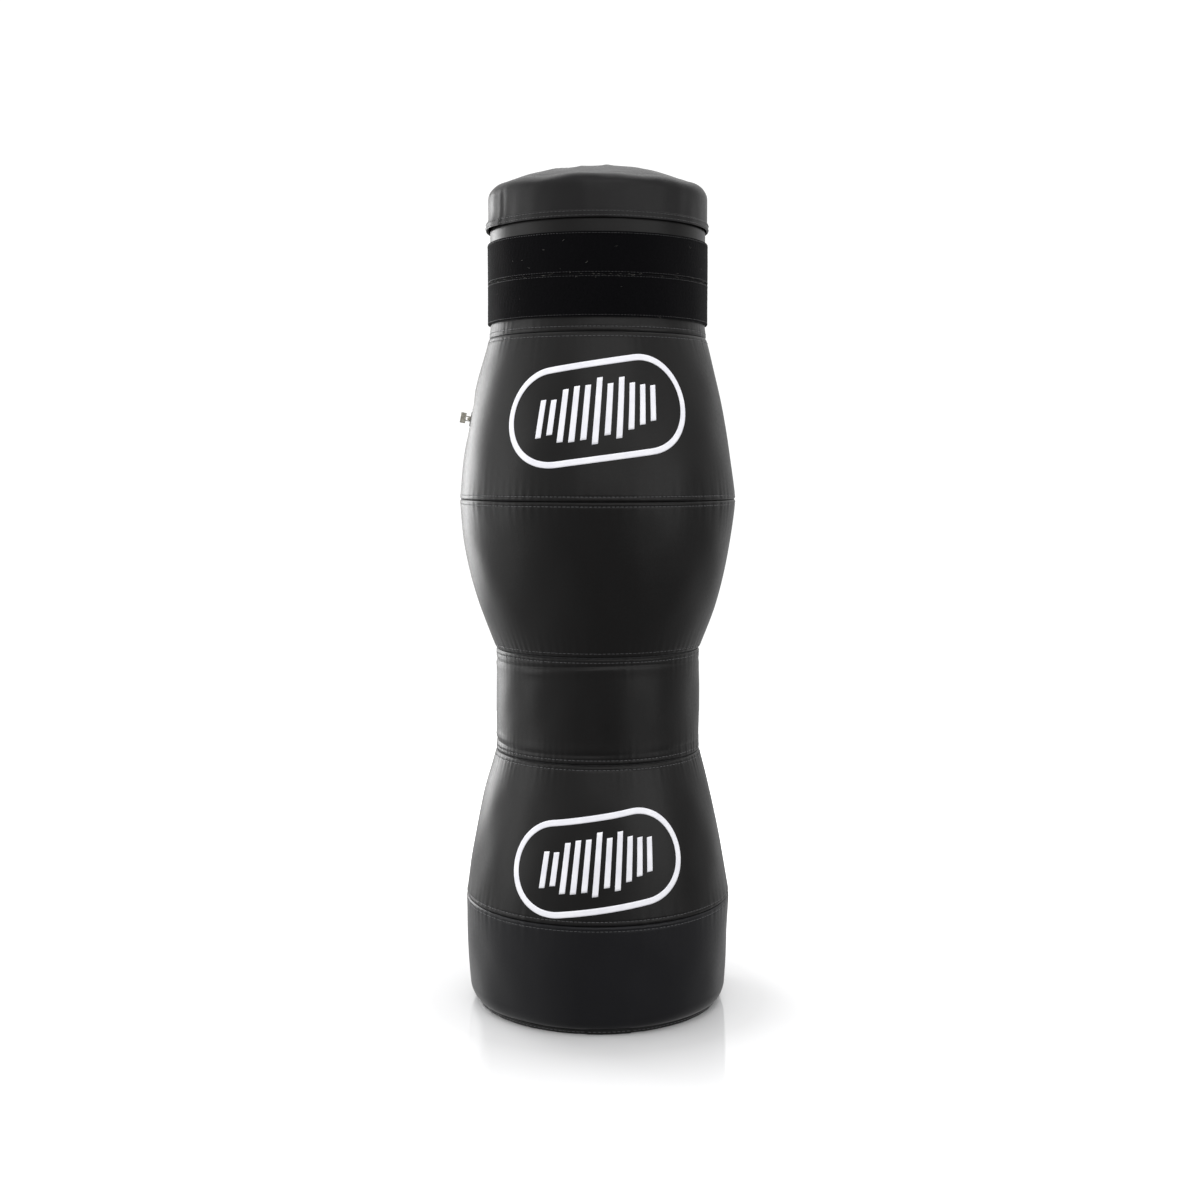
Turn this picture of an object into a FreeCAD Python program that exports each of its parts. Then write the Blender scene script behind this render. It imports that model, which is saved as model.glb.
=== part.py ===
"""A free-standing throwing dummy: a stuffed, sewn column with a neck, chest, waist, hips and foot.

Frame: +Z up, origin on the floor under the middle of the foot, -Y is the front, +X is to the right.
The shell is six tapered tubes and a foot disc of coated cloth, sewn end to end over webbing tapes.
Inside are foam wraps, a tied inner bag and its textile fill.  A loose lid hinges on a sewn tab at the back,
a hook-and-loop strap goes round the neck, and a filling zip runs round the back of the chest.
"""

import FreeCAD, Part
import math
import os

import Sketcher

V = FreeCAD.Vector
PARTS_FOLDER = "parts"
Z_AXIS = V(0, 0, 1)

# ---------------------------------------------------------------- driving dimensions, in millimetres and degrees
SIZES = {
    # heights of the seams above the floor
    "hip_level": 141.0,
    "waist_low_level": 334.0,
    "waist_high_level": 468.0,
    "chest_level": 662.0,
    "neck_level": 867.5,
    "rim_level": 1044.0,
    # outside radii at the seams
    "foot_radius": 158.5,
    "base_radius": 169.2,
    "hip_radius": 174.2,
    "waist_low_radius": 134.0,
    "waist_high_radius": 133.2,
    "chest_radius": 179.4,
    "neck_radius": 140.3,
    "collar_radius": 138.3,
    "tuck_radius": 136.0,
    "rim_radius": 133.6,
    # how far each tube swells past the straight line between its seams
    "base_swell": 0.8,
    "hip_swell": 3.2,
    "waist_swell": -1.0,
    "belly_swell": 8.4,
    "chest_swell": 4.6,
    # foot corner and neck shape
    "corner_rise": 26.0,
    "corner_cut": 3.2,
    "collar_level": 884.0,
    "tuck_level": 1001.0,
    "tuck_rise": 9.0,
    # cloth, foam and gaps
    "skin": 1.6,
    "slack": 0.3,
    "tape": 1.2,
    "foam": 10.0,
    "liner": 0.8,
    "seam_tape_height": 25.0,
    "seam_gap": 0.2,
    "binding_height": 6.0,
    "binding_wall": 1.6,
    "binding_lift": 0.5,
    "base_foam_height": 22.0,
    # inner bag
    "fill_top": 1038.0,
    "top_ease": 2.0,
    "gather_radius": 12.0,
    "gather_height": 26.0,
    "tie_cord": 4.0,
    # lid
    "lid_gap": 1.1,
    "lid_skin": 1.3,
    "lid_skirt_height": 40.0,
    "lid_hem_height": 8.5,
    "lid_shoulder": 14.0,
    "lid_crown": 22.0,
    "lid_flat": 20.0,
    "lid_tab_sweep": 50.0,
    "lid_tab_height": 24.0,
    "lid_tab_drop": 13.0,
    "lid_tab_lift": 1.0,
    "lid_drop": 2.5,
    "grip_sweep": 70.0,
    "grip_height": 24.0,
    "grip_offset": 8.5,
    # neck strap
    "strap_level": 884.8,
    "strap_row": 50.5,
    "strap_row_gap": 0.6,
    "strap_web": 1.1,
    "strap_pile": 1.7,
    "flap_root": 128.0,
    "flap_sweep": 60.0,
    "flap_web": 1.3,
    "hook_margin": 2.0,
    "hook_inset": 1.0,
    # filling zip, measured on the cone of the chest
    "zip_level": 765.0,
    "zip_lean": 11.0,
    "zip_start": 4.0,
    "zip_sweep": 183.0,
    "zip_window": 17.0,
    "zip_depth": 2.3,
    "teeth_inner": 0.8,
    "teeth_outer": 4.0,
    "teeth_thick": 2.6,
    "zip_tape_edge": 15.0,
    "stop_sweep": 1.2,
    "stop_space": 0.5,
    "tape_space": 0.1,
    "zip_tape_half": 0.4,
    "foam_ease": 2.0,
    "park_margin": 6.0,
    # zip slider and pull
    "slider_length": 18.0,
    "slider_width": 12.0,
    "plate": 1.4,
    "flange": 1.1,
    "flange_rise": 0.4,
    "wedge": 1.2,
    "wedge_length": 5.0,
    "slider_play": 0.4,
    "slider_nose": 3.0,
    "slider_heel": 2.0,
    "slider_bow": 0.2,
    "bail_length": 8.4,
    "bail_width": 3.2,
    "bail_height": 4.3,
    "bail_wall": 1.5,
    "bail_root": 0.3,
    "bail_corner": 1.0,
    "pull_pin": 1.8,
    "pin_play": 0.45,
    "arm_play": 0.5,
    "arm_wall": 1.3,
    "pull_width": 13.6,
    "pull_length": 6.8,
    "pull_thick": 3.0,
    "pull_reach": 5.0,
    "pull_slot": 2.9,
    "pull_slot_depth": 1.0,
    "pull_collar": 2.2,
}


class Size:
    """A length that carries its number together with the spreadsheet expression that gives it."""

    def __init__(self, value, text):
        self.value = value
        self.text = text

    def __add__(self, other):
        other = as_size(other)
        return Size(self.value + other.value, f"({self.text} + {other.text})")

    def __sub__(self, other):
        other = as_size(other)
        return Size(self.value - other.value, f"({self.text} - {other.text})")

    def __mul__(self, other):
        other = as_size(other)
        return Size(self.value * other.value, f"({self.text} * {other.text})")

    def __truediv__(self, other):
        other = as_size(other)
        return Size(self.value / other.value, f"({self.text} / {other.text})")

    def __neg__(self):
        return Size(-self.value, f"(0 - {self.text})")


def as_size(number):
    return number if isinstance(number, Size) else Size(float(number), repr(float(number)))


class Sheet:
    """The spreadsheet's aliases as Size attributes."""

    def __init__(self, doc):
        cells = doc.addObject("Spreadsheet::Sheet", "Sizes")
        for row, (alias, value) in enumerate(SIZES.items(), start=1):
            cells.set(f"A{row}", alias)
            cells.set(f"B{row}", repr(value))
            cells.setAlias(f"B{row}", alias)
            setattr(self, alias, Size(value, f"Sizes.{alias}"))


doc = FreeCAD.newDocument("ThrowingDummy")
s = Sheet(doc)
doc.recompute()
made = []


# ---------------------------------------------------------------- sketch and body helpers
def origin_plane(body, role):
    return next(f for f in body.Origin.OriginFeatures if f.Role == role)


def keep(thing, label):
    """Names a finished sub-part and puts it on the list of files to write."""
    thing.Label = label
    made.append(thing)
    return thing


def pin(sketch, geometry, point, r, z):
    """Ties one sketch point to its two spreadsheet sizes, measured from the sketch origin."""
    for kind, size, axis in (("DistanceX", r, -2), ("DistanceY", z, -1)):
        if abs(size.value) < 1e-9:
            sketch.addConstraint(Sketcher.Constraint("PointOnObject", geometry, point, axis))
            continue
        index = sketch.addConstraint(Sketcher.Constraint(kind, -1, 1, geometry, point, size.value))
        sketch.setExpression(f"Constraints[{index}]", size.text)


def outline(sketch, corners):
    """Draws a closed outline.  A corner is (r, z), or (r, z, (mid_r, mid_z)) if an arc through mid leads to it."""
    corners = [tuple(as_size(c) if not isinstance(c, tuple) else tuple(map(as_size, c)) for c in corner)
               for corner in corners]
    edges = []
    for here, there in zip(corners, corners[1:] + corners[:1]):
        a, b = V(here[0].value, here[1].value, 0), V(there[0].value, there[1].value, 0)
        if len(there) == 3:
            mid = V(there[2][0].value, there[2][1].value, 0)
            anticlockwise = (mid - a).cross(b - mid).z > 0
            ends = (a, b) if anticlockwise else (b, a)
            edge = sketch.addGeometry(Part.Arc(ends[0], mid, ends[1]))
            start_point = 1 if anticlockwise else 2
            through = sketch.addGeometry(Part.Point(mid), True)
            pin(sketch, through, 1, *there[2])
            sketch.addConstraint(Sketcher.Constraint("PointOnObject", through, 1, edge))
        else:
            edge, start_point = sketch.addGeometry(Part.LineSegment(a, b)), 1
        edges.append((edge, start_point))
    for (edge, start), corner in zip(edges, corners):
        pin(sketch, edge, start, corner[0], corner[1])
    for (edge, start), (following, next_start) in zip(edges, edges[1:] + edges[:1]):
        sketch.addConstraint(Sketcher.Constraint("Coincident", edge, 3 - start, following, next_start))


def sketch_on(body, role, name, corners):
    sketch = body.newObject("Sketcher::SketchObject", name)
    sketch.AttachmentSupport = (origin_plane(body, role), [""])
    sketch.MapMode = "FlatFace"
    outline(sketch, corners)
    return sketch


def turned(label, corners, sweep=None, start=0.0, kept=True):
    """A body of revolution about Z: a full ring, or `sweep` of one that begins `start` degrees round from +X."""
    body = doc.addObject("PartDesign::Body", label.title().replace("_", ""))
    sketch = sketch_on(body, "XZ_Plane", f"{body.Name}Outline", corners)
    feature = body.newObject("PartDesign::Revolution", f"{body.Name}Turn")
    feature.Profile = sketch
    feature.ReferenceAxis = (sketch, ["V_Axis"])
    feature.Angle = 360
    if sweep is not None:
        feature.setExpression("Angle", sweep.text)
        body.Placement = FreeCAD.Placement(V(), FreeCAD.Rotation(Z_AXIS, start))
    sketch.Visibility = False
    return keep(body, label) if kept else body


def padded_on(body, name, corners, depth, role="XY_Plane", both=False, base=None):
    """Pads an outline drawn on one of the body's planes, `base` above it."""
    sketch = sketch_on(body, role, f"{name}Outline", corners)
    if base is not None:
        sketch.AttachmentOffset = FreeCAD.Placement(V(0, 0, base.value), FreeCAD.Rotation())
        sketch.setExpression("AttachmentOffset.Base.z", base.text)
    feature = body.newObject("PartDesign::Pad", name)
    feature.Profile = sketch
    feature.Midplane = both
    feature.setExpression("Length", depth.text)
    return feature


def rectangle(low_x, low_y, high_x, high_y):
    return [(low_x, low_y), (high_x, low_y), (high_x, high_y), (low_x, high_y)]


# ---------------------------------------------------------------- the shell's tubes
def swollen_mid(lower, upper, swell):
    return ((lower[0] + upper[0]) / 2 + swell, (lower[1] + upper[1]) / 2)


hip = (s.hip_radius, s.hip_level)
waist_low = (s.waist_low_radius, s.waist_low_level)
waist_high = (s.waist_high_radius, s.waist_high_level)
chest = (s.chest_radius, s.chest_level)
neck = (s.neck_radius, s.neck_level)
collar = (s.collar_radius, s.collar_level)
tuck = (s.collar_radius, s.tuck_level)
tuck_end = (s.tuck_radius, s.tuck_level + s.tuck_rise)
rim = (s.rim_radius, s.rim_level)
base = (s.base_radius, s.corner_rise)
foot = (s.foot_radius, s.binding_height + s.seam_gap)

# name, lower seam, upper seam, swell
TUBES = [
    ("hip", hip, waist_low, s.hip_swell),
    ("waist", waist_low, waist_high, s.waist_swell),
    ("chest_lower", waist_high, chest, s.belly_swell),
    ("chest_upper", chest, neck, s.chest_swell),
]


def inset(point, depth):
    return (point[0] - depth, point[1])


def tube_corners(lower, upper, swell, outer_depth, inner_depth, gap):
    """A swollen tube between two seams, from outer_depth to inner_depth below the shell's outside."""
    mid = swollen_mid(lower, upper, swell)
    low_z, high_z = lower[1] + gap / 2, upper[1] - gap / 2
    return [
        (lower[0] - outer_depth, low_z),
        (upper[0] - outer_depth, high_z, inset(mid, outer_depth)),
        (upper[0] - inner_depth, high_z),
        (lower[0] - inner_depth, low_z, inset(mid, inner_depth)),
    ]


corner_mid = ((s.foot_radius + s.base_radius) / 2 + s.corner_cut, (foot[1] + s.corner_rise) / 2 - s.corner_cut)
base_mid = swollen_mid(base, hip, s.base_swell)


def base_corners(outer_depth, inner_depth, gap):
    """The base tube: straight sided above, tucked in to the foot below by a round corner."""
    top_z = hip[1] - gap / 2
    return [
        (foot[0] - outer_depth, foot[1]),
        (base[0] - outer_depth, base[1], inset(corner_mid, outer_depth)),
        (hip[0] - outer_depth, top_z, inset(base_mid, outer_depth)),
        (hip[0] - inner_depth, top_z),
        (base[0] - inner_depth, base[1], inset(base_mid, inner_depth)),
        (foot[0] - inner_depth, foot[1], inset(corner_mid, inner_depth)),
    ]


def neck_corners(outer_depth, inner_depth, gap, top):
    """The neck tube: a collar, a straight stretch, and a tucked rim that goes under the lid."""
    bottom_z = neck[1] + gap / 2
    steps = [(neck[0], bottom_z), collar, tuck, tuck_end, (rim[0], top)]
    outside = [(r - outer_depth, z) for r, z in steps]
    inside = [(r - inner_depth, z) for r, z in reversed(steps)]
    return outside + inside


def make_shell():
    zero = as_size(0)
    turned("base_panel", base_corners(zero, s.skin, s.seam_gap))
    for name, lower, upper, swell in TUBES[:3]:
        turned(f"{name}_panel", tube_corners(lower, upper, swell, zero, s.skin, s.seam_gap))
    make_zip_panel(TUBES[3])
    turned("neck_panel", neck_corners(zero, s.skin, s.seam_gap, rim[1]))
    turned("bottom_panel", rectangle(0, 0, s.foot_radius - s.binding_wall - s.seam_gap, s.skin))
    binding_in, binding_out = s.foot_radius - s.binding_wall, s.foot_radius + s.binding_wall / 2
    turned("bottom_binding", [
        (binding_in, s.binding_lift),
        (binding_out, s.binding_lift),
        (binding_out, s.binding_height),
        (binding_in, s.binding_height),
    ])
    rim_out, rim_in = s.rim_radius + s.binding_wall / 4, s.rim_radius - s.skin - s.binding_wall / 4
    turned("rim_binding", rectangle(rim_in, s.rim_level + s.seam_gap, rim_out, s.rim_level + s.binding_wall))


# ---------------------------------------------------------------- places on the cone of the chest, for the zip
lean = math.radians(SIZES["zip_lean"])
lean_cos = Size(math.cos(lean), "cos(Sizes.zip_lean * 1 deg)")
lean_sin = Size(math.sin(lean), "sin(Sizes.zip_lean * 1 deg)")
zip_radius = swollen_mid(chest, neck, s.chest_swell)[0]


def on_cone(up, out):
    """A point `up` the slope from the zip's line and `out` of the shell's outside, as (r, z)."""
    up, out = as_size(up), as_size(out)
    return (zip_radius - up * lean_sin + out * lean_cos, s.zip_level + up * lean_cos + out * lean_sin)


def cone_strip(low_up, low_out, high_up, high_out):
    """A rectangle in the slope's own directions."""
    return [on_cone(low_up, low_out), on_cone(low_up, high_out), on_cone(high_up, high_out), on_cone(high_up, low_out)]


def make_zip_panel(tube):
    """The upper chest tube, with the zip's window cut round its back."""
    name, lower, upper, swell = tube
    body = turned(f"{name}_panel", tube_corners(lower, upper, swell, as_size(0), s.skin, s.seam_gap))
    half = s.zip_window / 2
    sketch = sketch_on(body, "XZ_Plane", "ZipWindowOutline", cone_strip(-half, -s.skin * 2, half, s.skin * 2))
    doc.recompute()
    before = body.Shape.Volume
    groove = body.newObject("PartDesign::Groove", "ZipWindow")
    groove.Profile = sketch
    groove.ReferenceAxis = (sketch, ["V_Axis"])
    groove.setExpression("Angle", s.zip_sweep.text)
    body.Placement = FreeCAD.Placement(V(), FreeCAD.Rotation(Z_AXIS, SIZES["zip_start"]))
    doc.recompute()
    if not body.Shape.Volume < before - 1:
        raise RuntimeError("the zip window cut nothing")


# ---------------------------------------------------------------- inside: webbing, foam, inner bag and fill
def make_seam_tapes():
    """Webbing sewn behind each seam: slices of one thin layer that follows the inside of the shell."""
    outer, inner = s.skin + s.slack, s.skin + s.slack + s.tape
    steps = [hip] + [upper for _, _, upper, _ in TUBES]
    mids = [swollen_mid(low, high, swell) for _, low, high, swell in TUBES]
    outside = [inset(base, outer), (*inset(hip, outer), inset(base_mid, outer))]
    outside += [(*inset(p, outer), inset(m, outer)) for p, m in zip(steps[1:], mids)]
    outside += [inset(p, outer) for p in (collar, tuck)]
    inside = [inset(p, inner) for p in (tuck, collar, neck)]
    inside += [(*inset(p, inner), inset(m, inner)) for p, m in zip(reversed(steps[:-1]), reversed(mids))]
    inside += [(*inset(base, inner), inset(base_mid, inner))]
    layer = turned("lining_layer", outside + inside, kept=False)
    names = ("hip", "waist_low", "waist_high", "chest", "neck")
    for name, level in zip(names, (hip, waist_low, waist_high, chest, neck)):
        slab = doc.addObject("Part::Cylinder", f"{name.title().replace('_', '')}Slab")
        slab.setExpression("Radius", (s.chest_radius + 10).text)
        slab.setExpression("Height", s.seam_tape_height.text)
        slab.setExpression("Placement.Base.z", (level[1] - s.seam_tape_height / 2).text)
        slice_of = doc.addObject("Part::Common", f"{name.title().replace('_', '')}Tape")
        slice_of.Base, slice_of.Tool = layer, slab
        keep(slice_of, f"{name}_seam_tape")


foam_outer = s.skin + s.tape + s.slack * 2
foam_inner = foam_outer + s.foam
zip_clearance = s.zip_depth + s.teeth_thick / 2 + s.plate + s.foam_ease


def make_foam():
    turned("base_foam_wrap", base_wrap_corners())
    for name, lower, upper, swell in TUBES:
        outer = zip_clearance if name == "chest_upper" else foam_outer
        turned(f"{name}_foam_wrap", tube_corners(lower, upper, swell, outer, foam_inner, s.seam_gap * 2))
    turned("neck_foam_wrap", neck_corners(foam_outer, foam_inner, s.seam_gap * 2, s.fill_top))
    turned("foot_foam_disc", rectangle(
        0, s.skin + s.slack, s.foot_radius - foam_outer, s.skin + s.slack + s.base_foam_height))


def base_wrap_corners():
    """The base tube's foam stands on the foot disc."""
    floor = s.skin + s.base_foam_height + s.slack * 2
    top_z = hip[1] - s.seam_gap
    return [
        (s.foot_radius - foam_outer, floor),
        (base[0] - foam_outer, base[1]),
        (hip[0] - foam_outer, top_z, inset(base_mid, foam_outer)),
        (hip[0] - foam_inner, top_z),
        (base[0] - foam_inner, base[1], inset(base_mid, foam_inner)),
        (s.foot_radius - foam_inner, floor),
    ]


def column(depth, floor, top, closing):
    """The stuffed column's outline at `depth` below the shell, closed at the top by the given corners."""
    outside = [(s.foot_radius - depth, floor), inset(base, depth), (*inset(hip, depth), inset(base_mid, depth))]
    for _, low, high, swell in TUBES:
        outside.append((*inset(high, depth), inset(swollen_mid(low, high, swell), depth)))
    outside += [inset(collar, depth), inset(tuck, depth), inset(tuck_end, depth)]
    outside.append((rim[0] - depth - s.top_ease, top))
    return outside + closing


def make_inner_bag():
    """The liner is gathered to a tuft at the top and tied; the fill is one packed column."""
    depth = foam_inner + s.slack
    floor = s.skin + s.base_foam_height + s.slack * 2
    tuft_top = s.fill_top + s.gather_height
    shoulder = s.fill_top + s.gather_height / 3
    outside = column(depth, floor, s.fill_top, [
        (s.gather_radius, shoulder), (s.gather_radius, tuft_top)])
    wall = depth + s.liner
    roof = s.fill_top - s.liner
    inside = column(wall, floor + s.liner, roof, [(0, roof)])
    body = turned("inner_bag", [(0, floor)] + outside + [(0, tuft_top)])
    hollow = sketch_on(body, "XZ_Plane", "InnerBagHollow", [(0, floor + s.liner)] + inside)
    doc.recompute()
    before = body.Shape.Volume
    groove = body.newObject("PartDesign::Groove", "InnerBagRoom")
    groove.Profile = hollow
    groove.ReferenceAxis = (hollow, ["V_Axis"])
    groove.Angle = 360
    doc.recompute()
    if not body.Shape.Volume < before / 2:
        raise RuntimeError("the inner bag wasn't hollowed")
    fill = wall + s.slack
    turned("textile_fill", [(0, floor + s.liner + s.slack)] + column(
        fill, floor + s.liner + s.slack, roof - s.slack, [(0, roof - s.slack)]))
    tie = doc.addObject("Part::Torus", "BagTie")
    tie.setExpression("Radius1", (s.gather_radius + s.tie_cord / 2 + 0.2).text)
    tie.setExpression("Radius2", (s.tie_cord / 2).text)
    tie.setExpression("Placement.Base.z", (shoulder + s.tie_cord).text)
    keep(tie, "inner_bag_tie")


# ---------------------------------------------------------------- neck strap
strap_in = s.collar_radius + s.slack
pile_in = strap_in + s.strap_web + s.seam_gap
pile_out = pile_in + s.strap_pile
flap_in = pile_out + s.slack
strap_height = s.strap_row * 2 + s.strap_row_gap


def band(radius_in, radius_out, level, height):
    return rectangle(radius_in, level, radius_out, level + height)


def make_strap():
    upper_row = s.strap_level + s.strap_row + s.strap_row_gap
    turned("strap_webbing", band(strap_in, strap_in + s.strap_web, s.strap_level, strap_height))
    turned("strap_pile_lower", band(pile_in, pile_out, s.strap_level, s.strap_row))
    turned("strap_pile_upper", band(pile_in, pile_out, upper_row, s.strap_row))
    start = SIZES["flap_root"] - SIZES["flap_sweep"]
    hook_out = flap_in + s.strap_web
    turned("flap_hook_tape", band(flap_in, hook_out, s.strap_level + s.hook_margin, strap_height - s.hook_margin * 2),
           s.flap_sweep - s.hook_inset * 4, start + SIZES["hook_inset"])
    web_in = hook_out + s.seam_gap
    turned("flap_webbing", band(web_in, web_in + s.flap_web, s.strap_level, strap_height), s.flap_sweep, start)


# ---------------------------------------------------------------- lid
lid_in = s.collar_radius + s.lid_gap
lid_out = lid_in + s.lid_skin
hem_level = s.tuck_level + s.lid_drop
lid_edge = hem_level + s.lid_skirt_height
BACK = 90.0


def back_arc(sweep_name):
    """Where an arc of that sweep starts if it is centred on the back."""
    return BACK - SIZES[sweep_name] / 2


def make_lid():
    turned("lid_skirt", band(lid_in, lid_out, hem_level, s.lid_skirt_height))
    hem_in = lid_out + s.seam_gap
    turned("lid_hem", band(hem_in, hem_in + s.lid_skin, hem_level, s.lid_hem_height))
    shoulder_z = lid_edge + s.seam_gap
    crown_z = shoulder_z + s.lid_shoulder + s.lid_crown
    shoulder_r = lid_in - s.lid_shoulder
    shoulder_top = shoulder_z + s.lid_shoulder
    round_off = 0.7
    dome_mid = ((shoulder_r + s.lid_flat) / 2, crown_z - s.lid_crown / 4)
    outer_corner = (shoulder_r + (s.lid_shoulder + s.lid_skin) * round_off, shoulder_z + s.lid_shoulder * round_off)
    inner_corner = (shoulder_r + s.lid_shoulder * round_off,
                    shoulder_z + (s.lid_shoulder - s.lid_skin) * round_off)
    turned("lid_top", [
        (0, crown_z - s.lid_skin),
        (s.lid_flat, crown_z - s.lid_skin),
        (shoulder_r, shoulder_top - s.lid_skin, (dome_mid[0], dome_mid[1] - s.lid_skin)),
        (lid_in, shoulder_z, inner_corner),
        (lid_out, shoulder_z),
        (shoulder_r, shoulder_top, outer_corner),
        (s.lid_flat, crown_z, dome_mid),
        (0, crown_z),
    ])
    make_lid_tab(hem_in)
    make_lid_grips()


def make_lid_tab(hem_in):
    """The sewn tab at the back that the lid swings on, as its half on the lid and its half on the neck."""
    tab_in = hem_in + s.lid_skin + s.seam_gap
    start = back_arc("lid_tab_sweep")
    lower_level = hem_level - s.lid_tab_drop - s.lid_tab_lift
    turned("lid_tab_upper", band(tab_in, tab_in + s.tape, hem_level + s.lid_tab_lift, s.lid_tab_height),
           s.lid_tab_sweep, start)
    turned("lid_tab_lower", band(strap_in, strap_in + s.tape, lower_level, s.lid_tab_drop), s.lid_tab_sweep, start)


def make_lid_grips():
    """Hook tape inside the skirt and pile tape on the neck, at both sides, made as one piece each side."""
    grip_level = hem_level + s.grip_offset
    slope = (rim[0] - tuck_end[0]) / (rim[1] - tuck_end[1])
    pile_low = tuck_end[0] + slope * (grip_level - tuck_end[1]) + s.seam_gap
    pile_high = pile_low + slope * s.grip_height
    half = SIZES["grip_sweep"] / 2
    hook_outer = lid_in - s.seam_gap
    for side, middle in (("right", 0.0), ("left", 180.0)):
        turned(f"lid_hook_tape_{side}", band(hook_outer - s.tape, hook_outer, grip_level, s.grip_height),
               s.grip_sweep, middle - half)
        turned(f"neck_pile_tape_{side}", [
            (pile_low, grip_level),
            (pile_low + s.tape, grip_level),
            (pile_high + s.tape, grip_level + s.grip_height),
            (pile_high, grip_level + s.grip_height),
        ], s.grip_sweep, middle - half)


# ---------------------------------------------------------------- filling zip
teeth_top = s.teeth_thick / 2 - s.zip_depth
teeth_bottom = -s.teeth_thick / 2 - s.zip_depth
CLOSED_ANGLE = SIZES["zip_start"] + SIZES["zip_sweep"] - SIZES["park_margin"]


def make_zip():
    start = SIZES["zip_start"]
    tape_top, tape_bottom = s.zip_tape_half - s.zip_depth, -s.zip_depth - s.zip_tape_half
    near, far = s.teeth_outer + s.tape_space, s.zip_tape_edge
    turned("zip_tape_upper", cone_strip(near, tape_bottom, far, tape_top), s.zip_sweep, start)
    turned("zip_tape_lower", cone_strip(-far, tape_bottom, -near, tape_top), s.zip_sweep, start)
    teeth_sweep = s.zip_sweep - (s.stop_sweep + s.stop_space) * 2
    teeth_start = start + SIZES["stop_sweep"] + SIZES["stop_space"]
    inner, outer = s.teeth_inner, s.teeth_outer
    turned("zip_teeth_upper", cone_strip(inner, teeth_bottom, outer, teeth_top), teeth_sweep, teeth_start)
    turned("zip_teeth_lower", cone_strip(-outer, teeth_bottom, -inner, teeth_top), teeth_sweep, teeth_start)
    far_end = start + SIZES["zip_sweep"] - SIZES["stop_sweep"]
    for name, angle in (("open_end", start), ("closed_end", far_end)):
        turned(f"zip_stop_{name}", cone_strip(-outer, teeth_bottom, outer, teeth_top), s.stop_sweep, angle)


def zip_place(angle):
    """The frame of a piece on the zip: x along the chain, y up the slope, z out of the surface."""
    turn = math.radians(angle)
    round_z = V(math.cos(turn), math.sin(turn), 0)
    out = round_z * math.cos(lean) + Z_AXIS * math.sin(lean)
    up = Z_AXIS * math.cos(lean) - round_z * math.sin(lean)
    spot = round_z * zip_radius.value + Z_AXIS * SIZES["zip_level"]
    return FreeCAD.Placement(spot, FreeCAD.Rotation(up.cross(out), up, out, "ZXY"))


def make_slider():
    """Two plates joined by a wedge, with flanges that hold the teeth and a bail for the pull."""
    body = doc.addObject("PartDesign::Body", "ZipSlider")
    half_l, half_w = s.slider_length / 2, s.slider_width / 2
    upper_face = teeth_top + s.slider_play
    lower = teeth_bottom - s.slider_play - s.slider_bow - s.plate
    nose, heel, cheek = half_l - s.slider_nose, s.slider_heel - half_l, half_w - s.slider_heel
    plate_outline = [
        (-half_l, -cheek),
        (heel, -half_w),
        (nose, -half_w),
        (half_l, -cheek),
        (half_l, cheek),
        (nose, half_w),
        (heel, half_w),
        (-half_l, cheek),
    ]
    padded_on(body, "LowerPlate", plate_outline, s.plate, base=lower)
    wedge = s.wedge / 2
    padded_on(body, "Wedge", rectangle(nose - s.wedge_length, -wedge, nose, wedge), upper_face - lower, base=lower)
    padded_on(body, "UpperPlate", plate_outline, s.plate, base=upper_face)
    lower_rise = teeth_bottom - lower + s.flange_rise
    for near, far, name in ((half_w - s.flange, half_w, "Left"), (-half_w, s.flange - half_w, "Right")):
        strip = rectangle(heel, near, nose, far)
        padded_on(body, f"LowerFlange{name}", strip, lower_rise, base=lower)
        padded_on(body, f"UpperFlange{name}", strip, s.plate, base=upper_face - s.flange)
    make_bail(body, upper_face + s.plate)
    body.Placement = zip_place(CLOSED_ANGLE)
    keep(body, "zip_slider_body")


def make_bail(body, plate_top):
    """A low arch along the slider, drawn on its long middle plane."""
    half, wall = s.bail_length / 2, s.bail_wall
    top, under = plate_top + s.bail_height, plate_top + s.bail_height - wall
    foot_z = plate_top - s.bail_root
    shoulder = half - s.bail_corner
    padded_on(body, "Bail", [
        (-half, foot_z),
        (-half + wall, foot_z),
        (-half + wall, under),
        (half - wall, under),
        (half - wall, foot_z),
        (half, foot_z),
        (half, top - s.bail_corner),
        (shoulder, top),
        (-shoulder, top),
        (-half, top - s.bail_corner),
    ], s.bail_width, role="XZ_Plane", both=True)


def pull_axis_height():
    """Height of the pull's pin over the shell's outside, in the slider's frame."""
    plate_top = teeth_top + s.slider_play + s.plate
    return plate_top + s.pull_pin / 2 + s.pin_play


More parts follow.
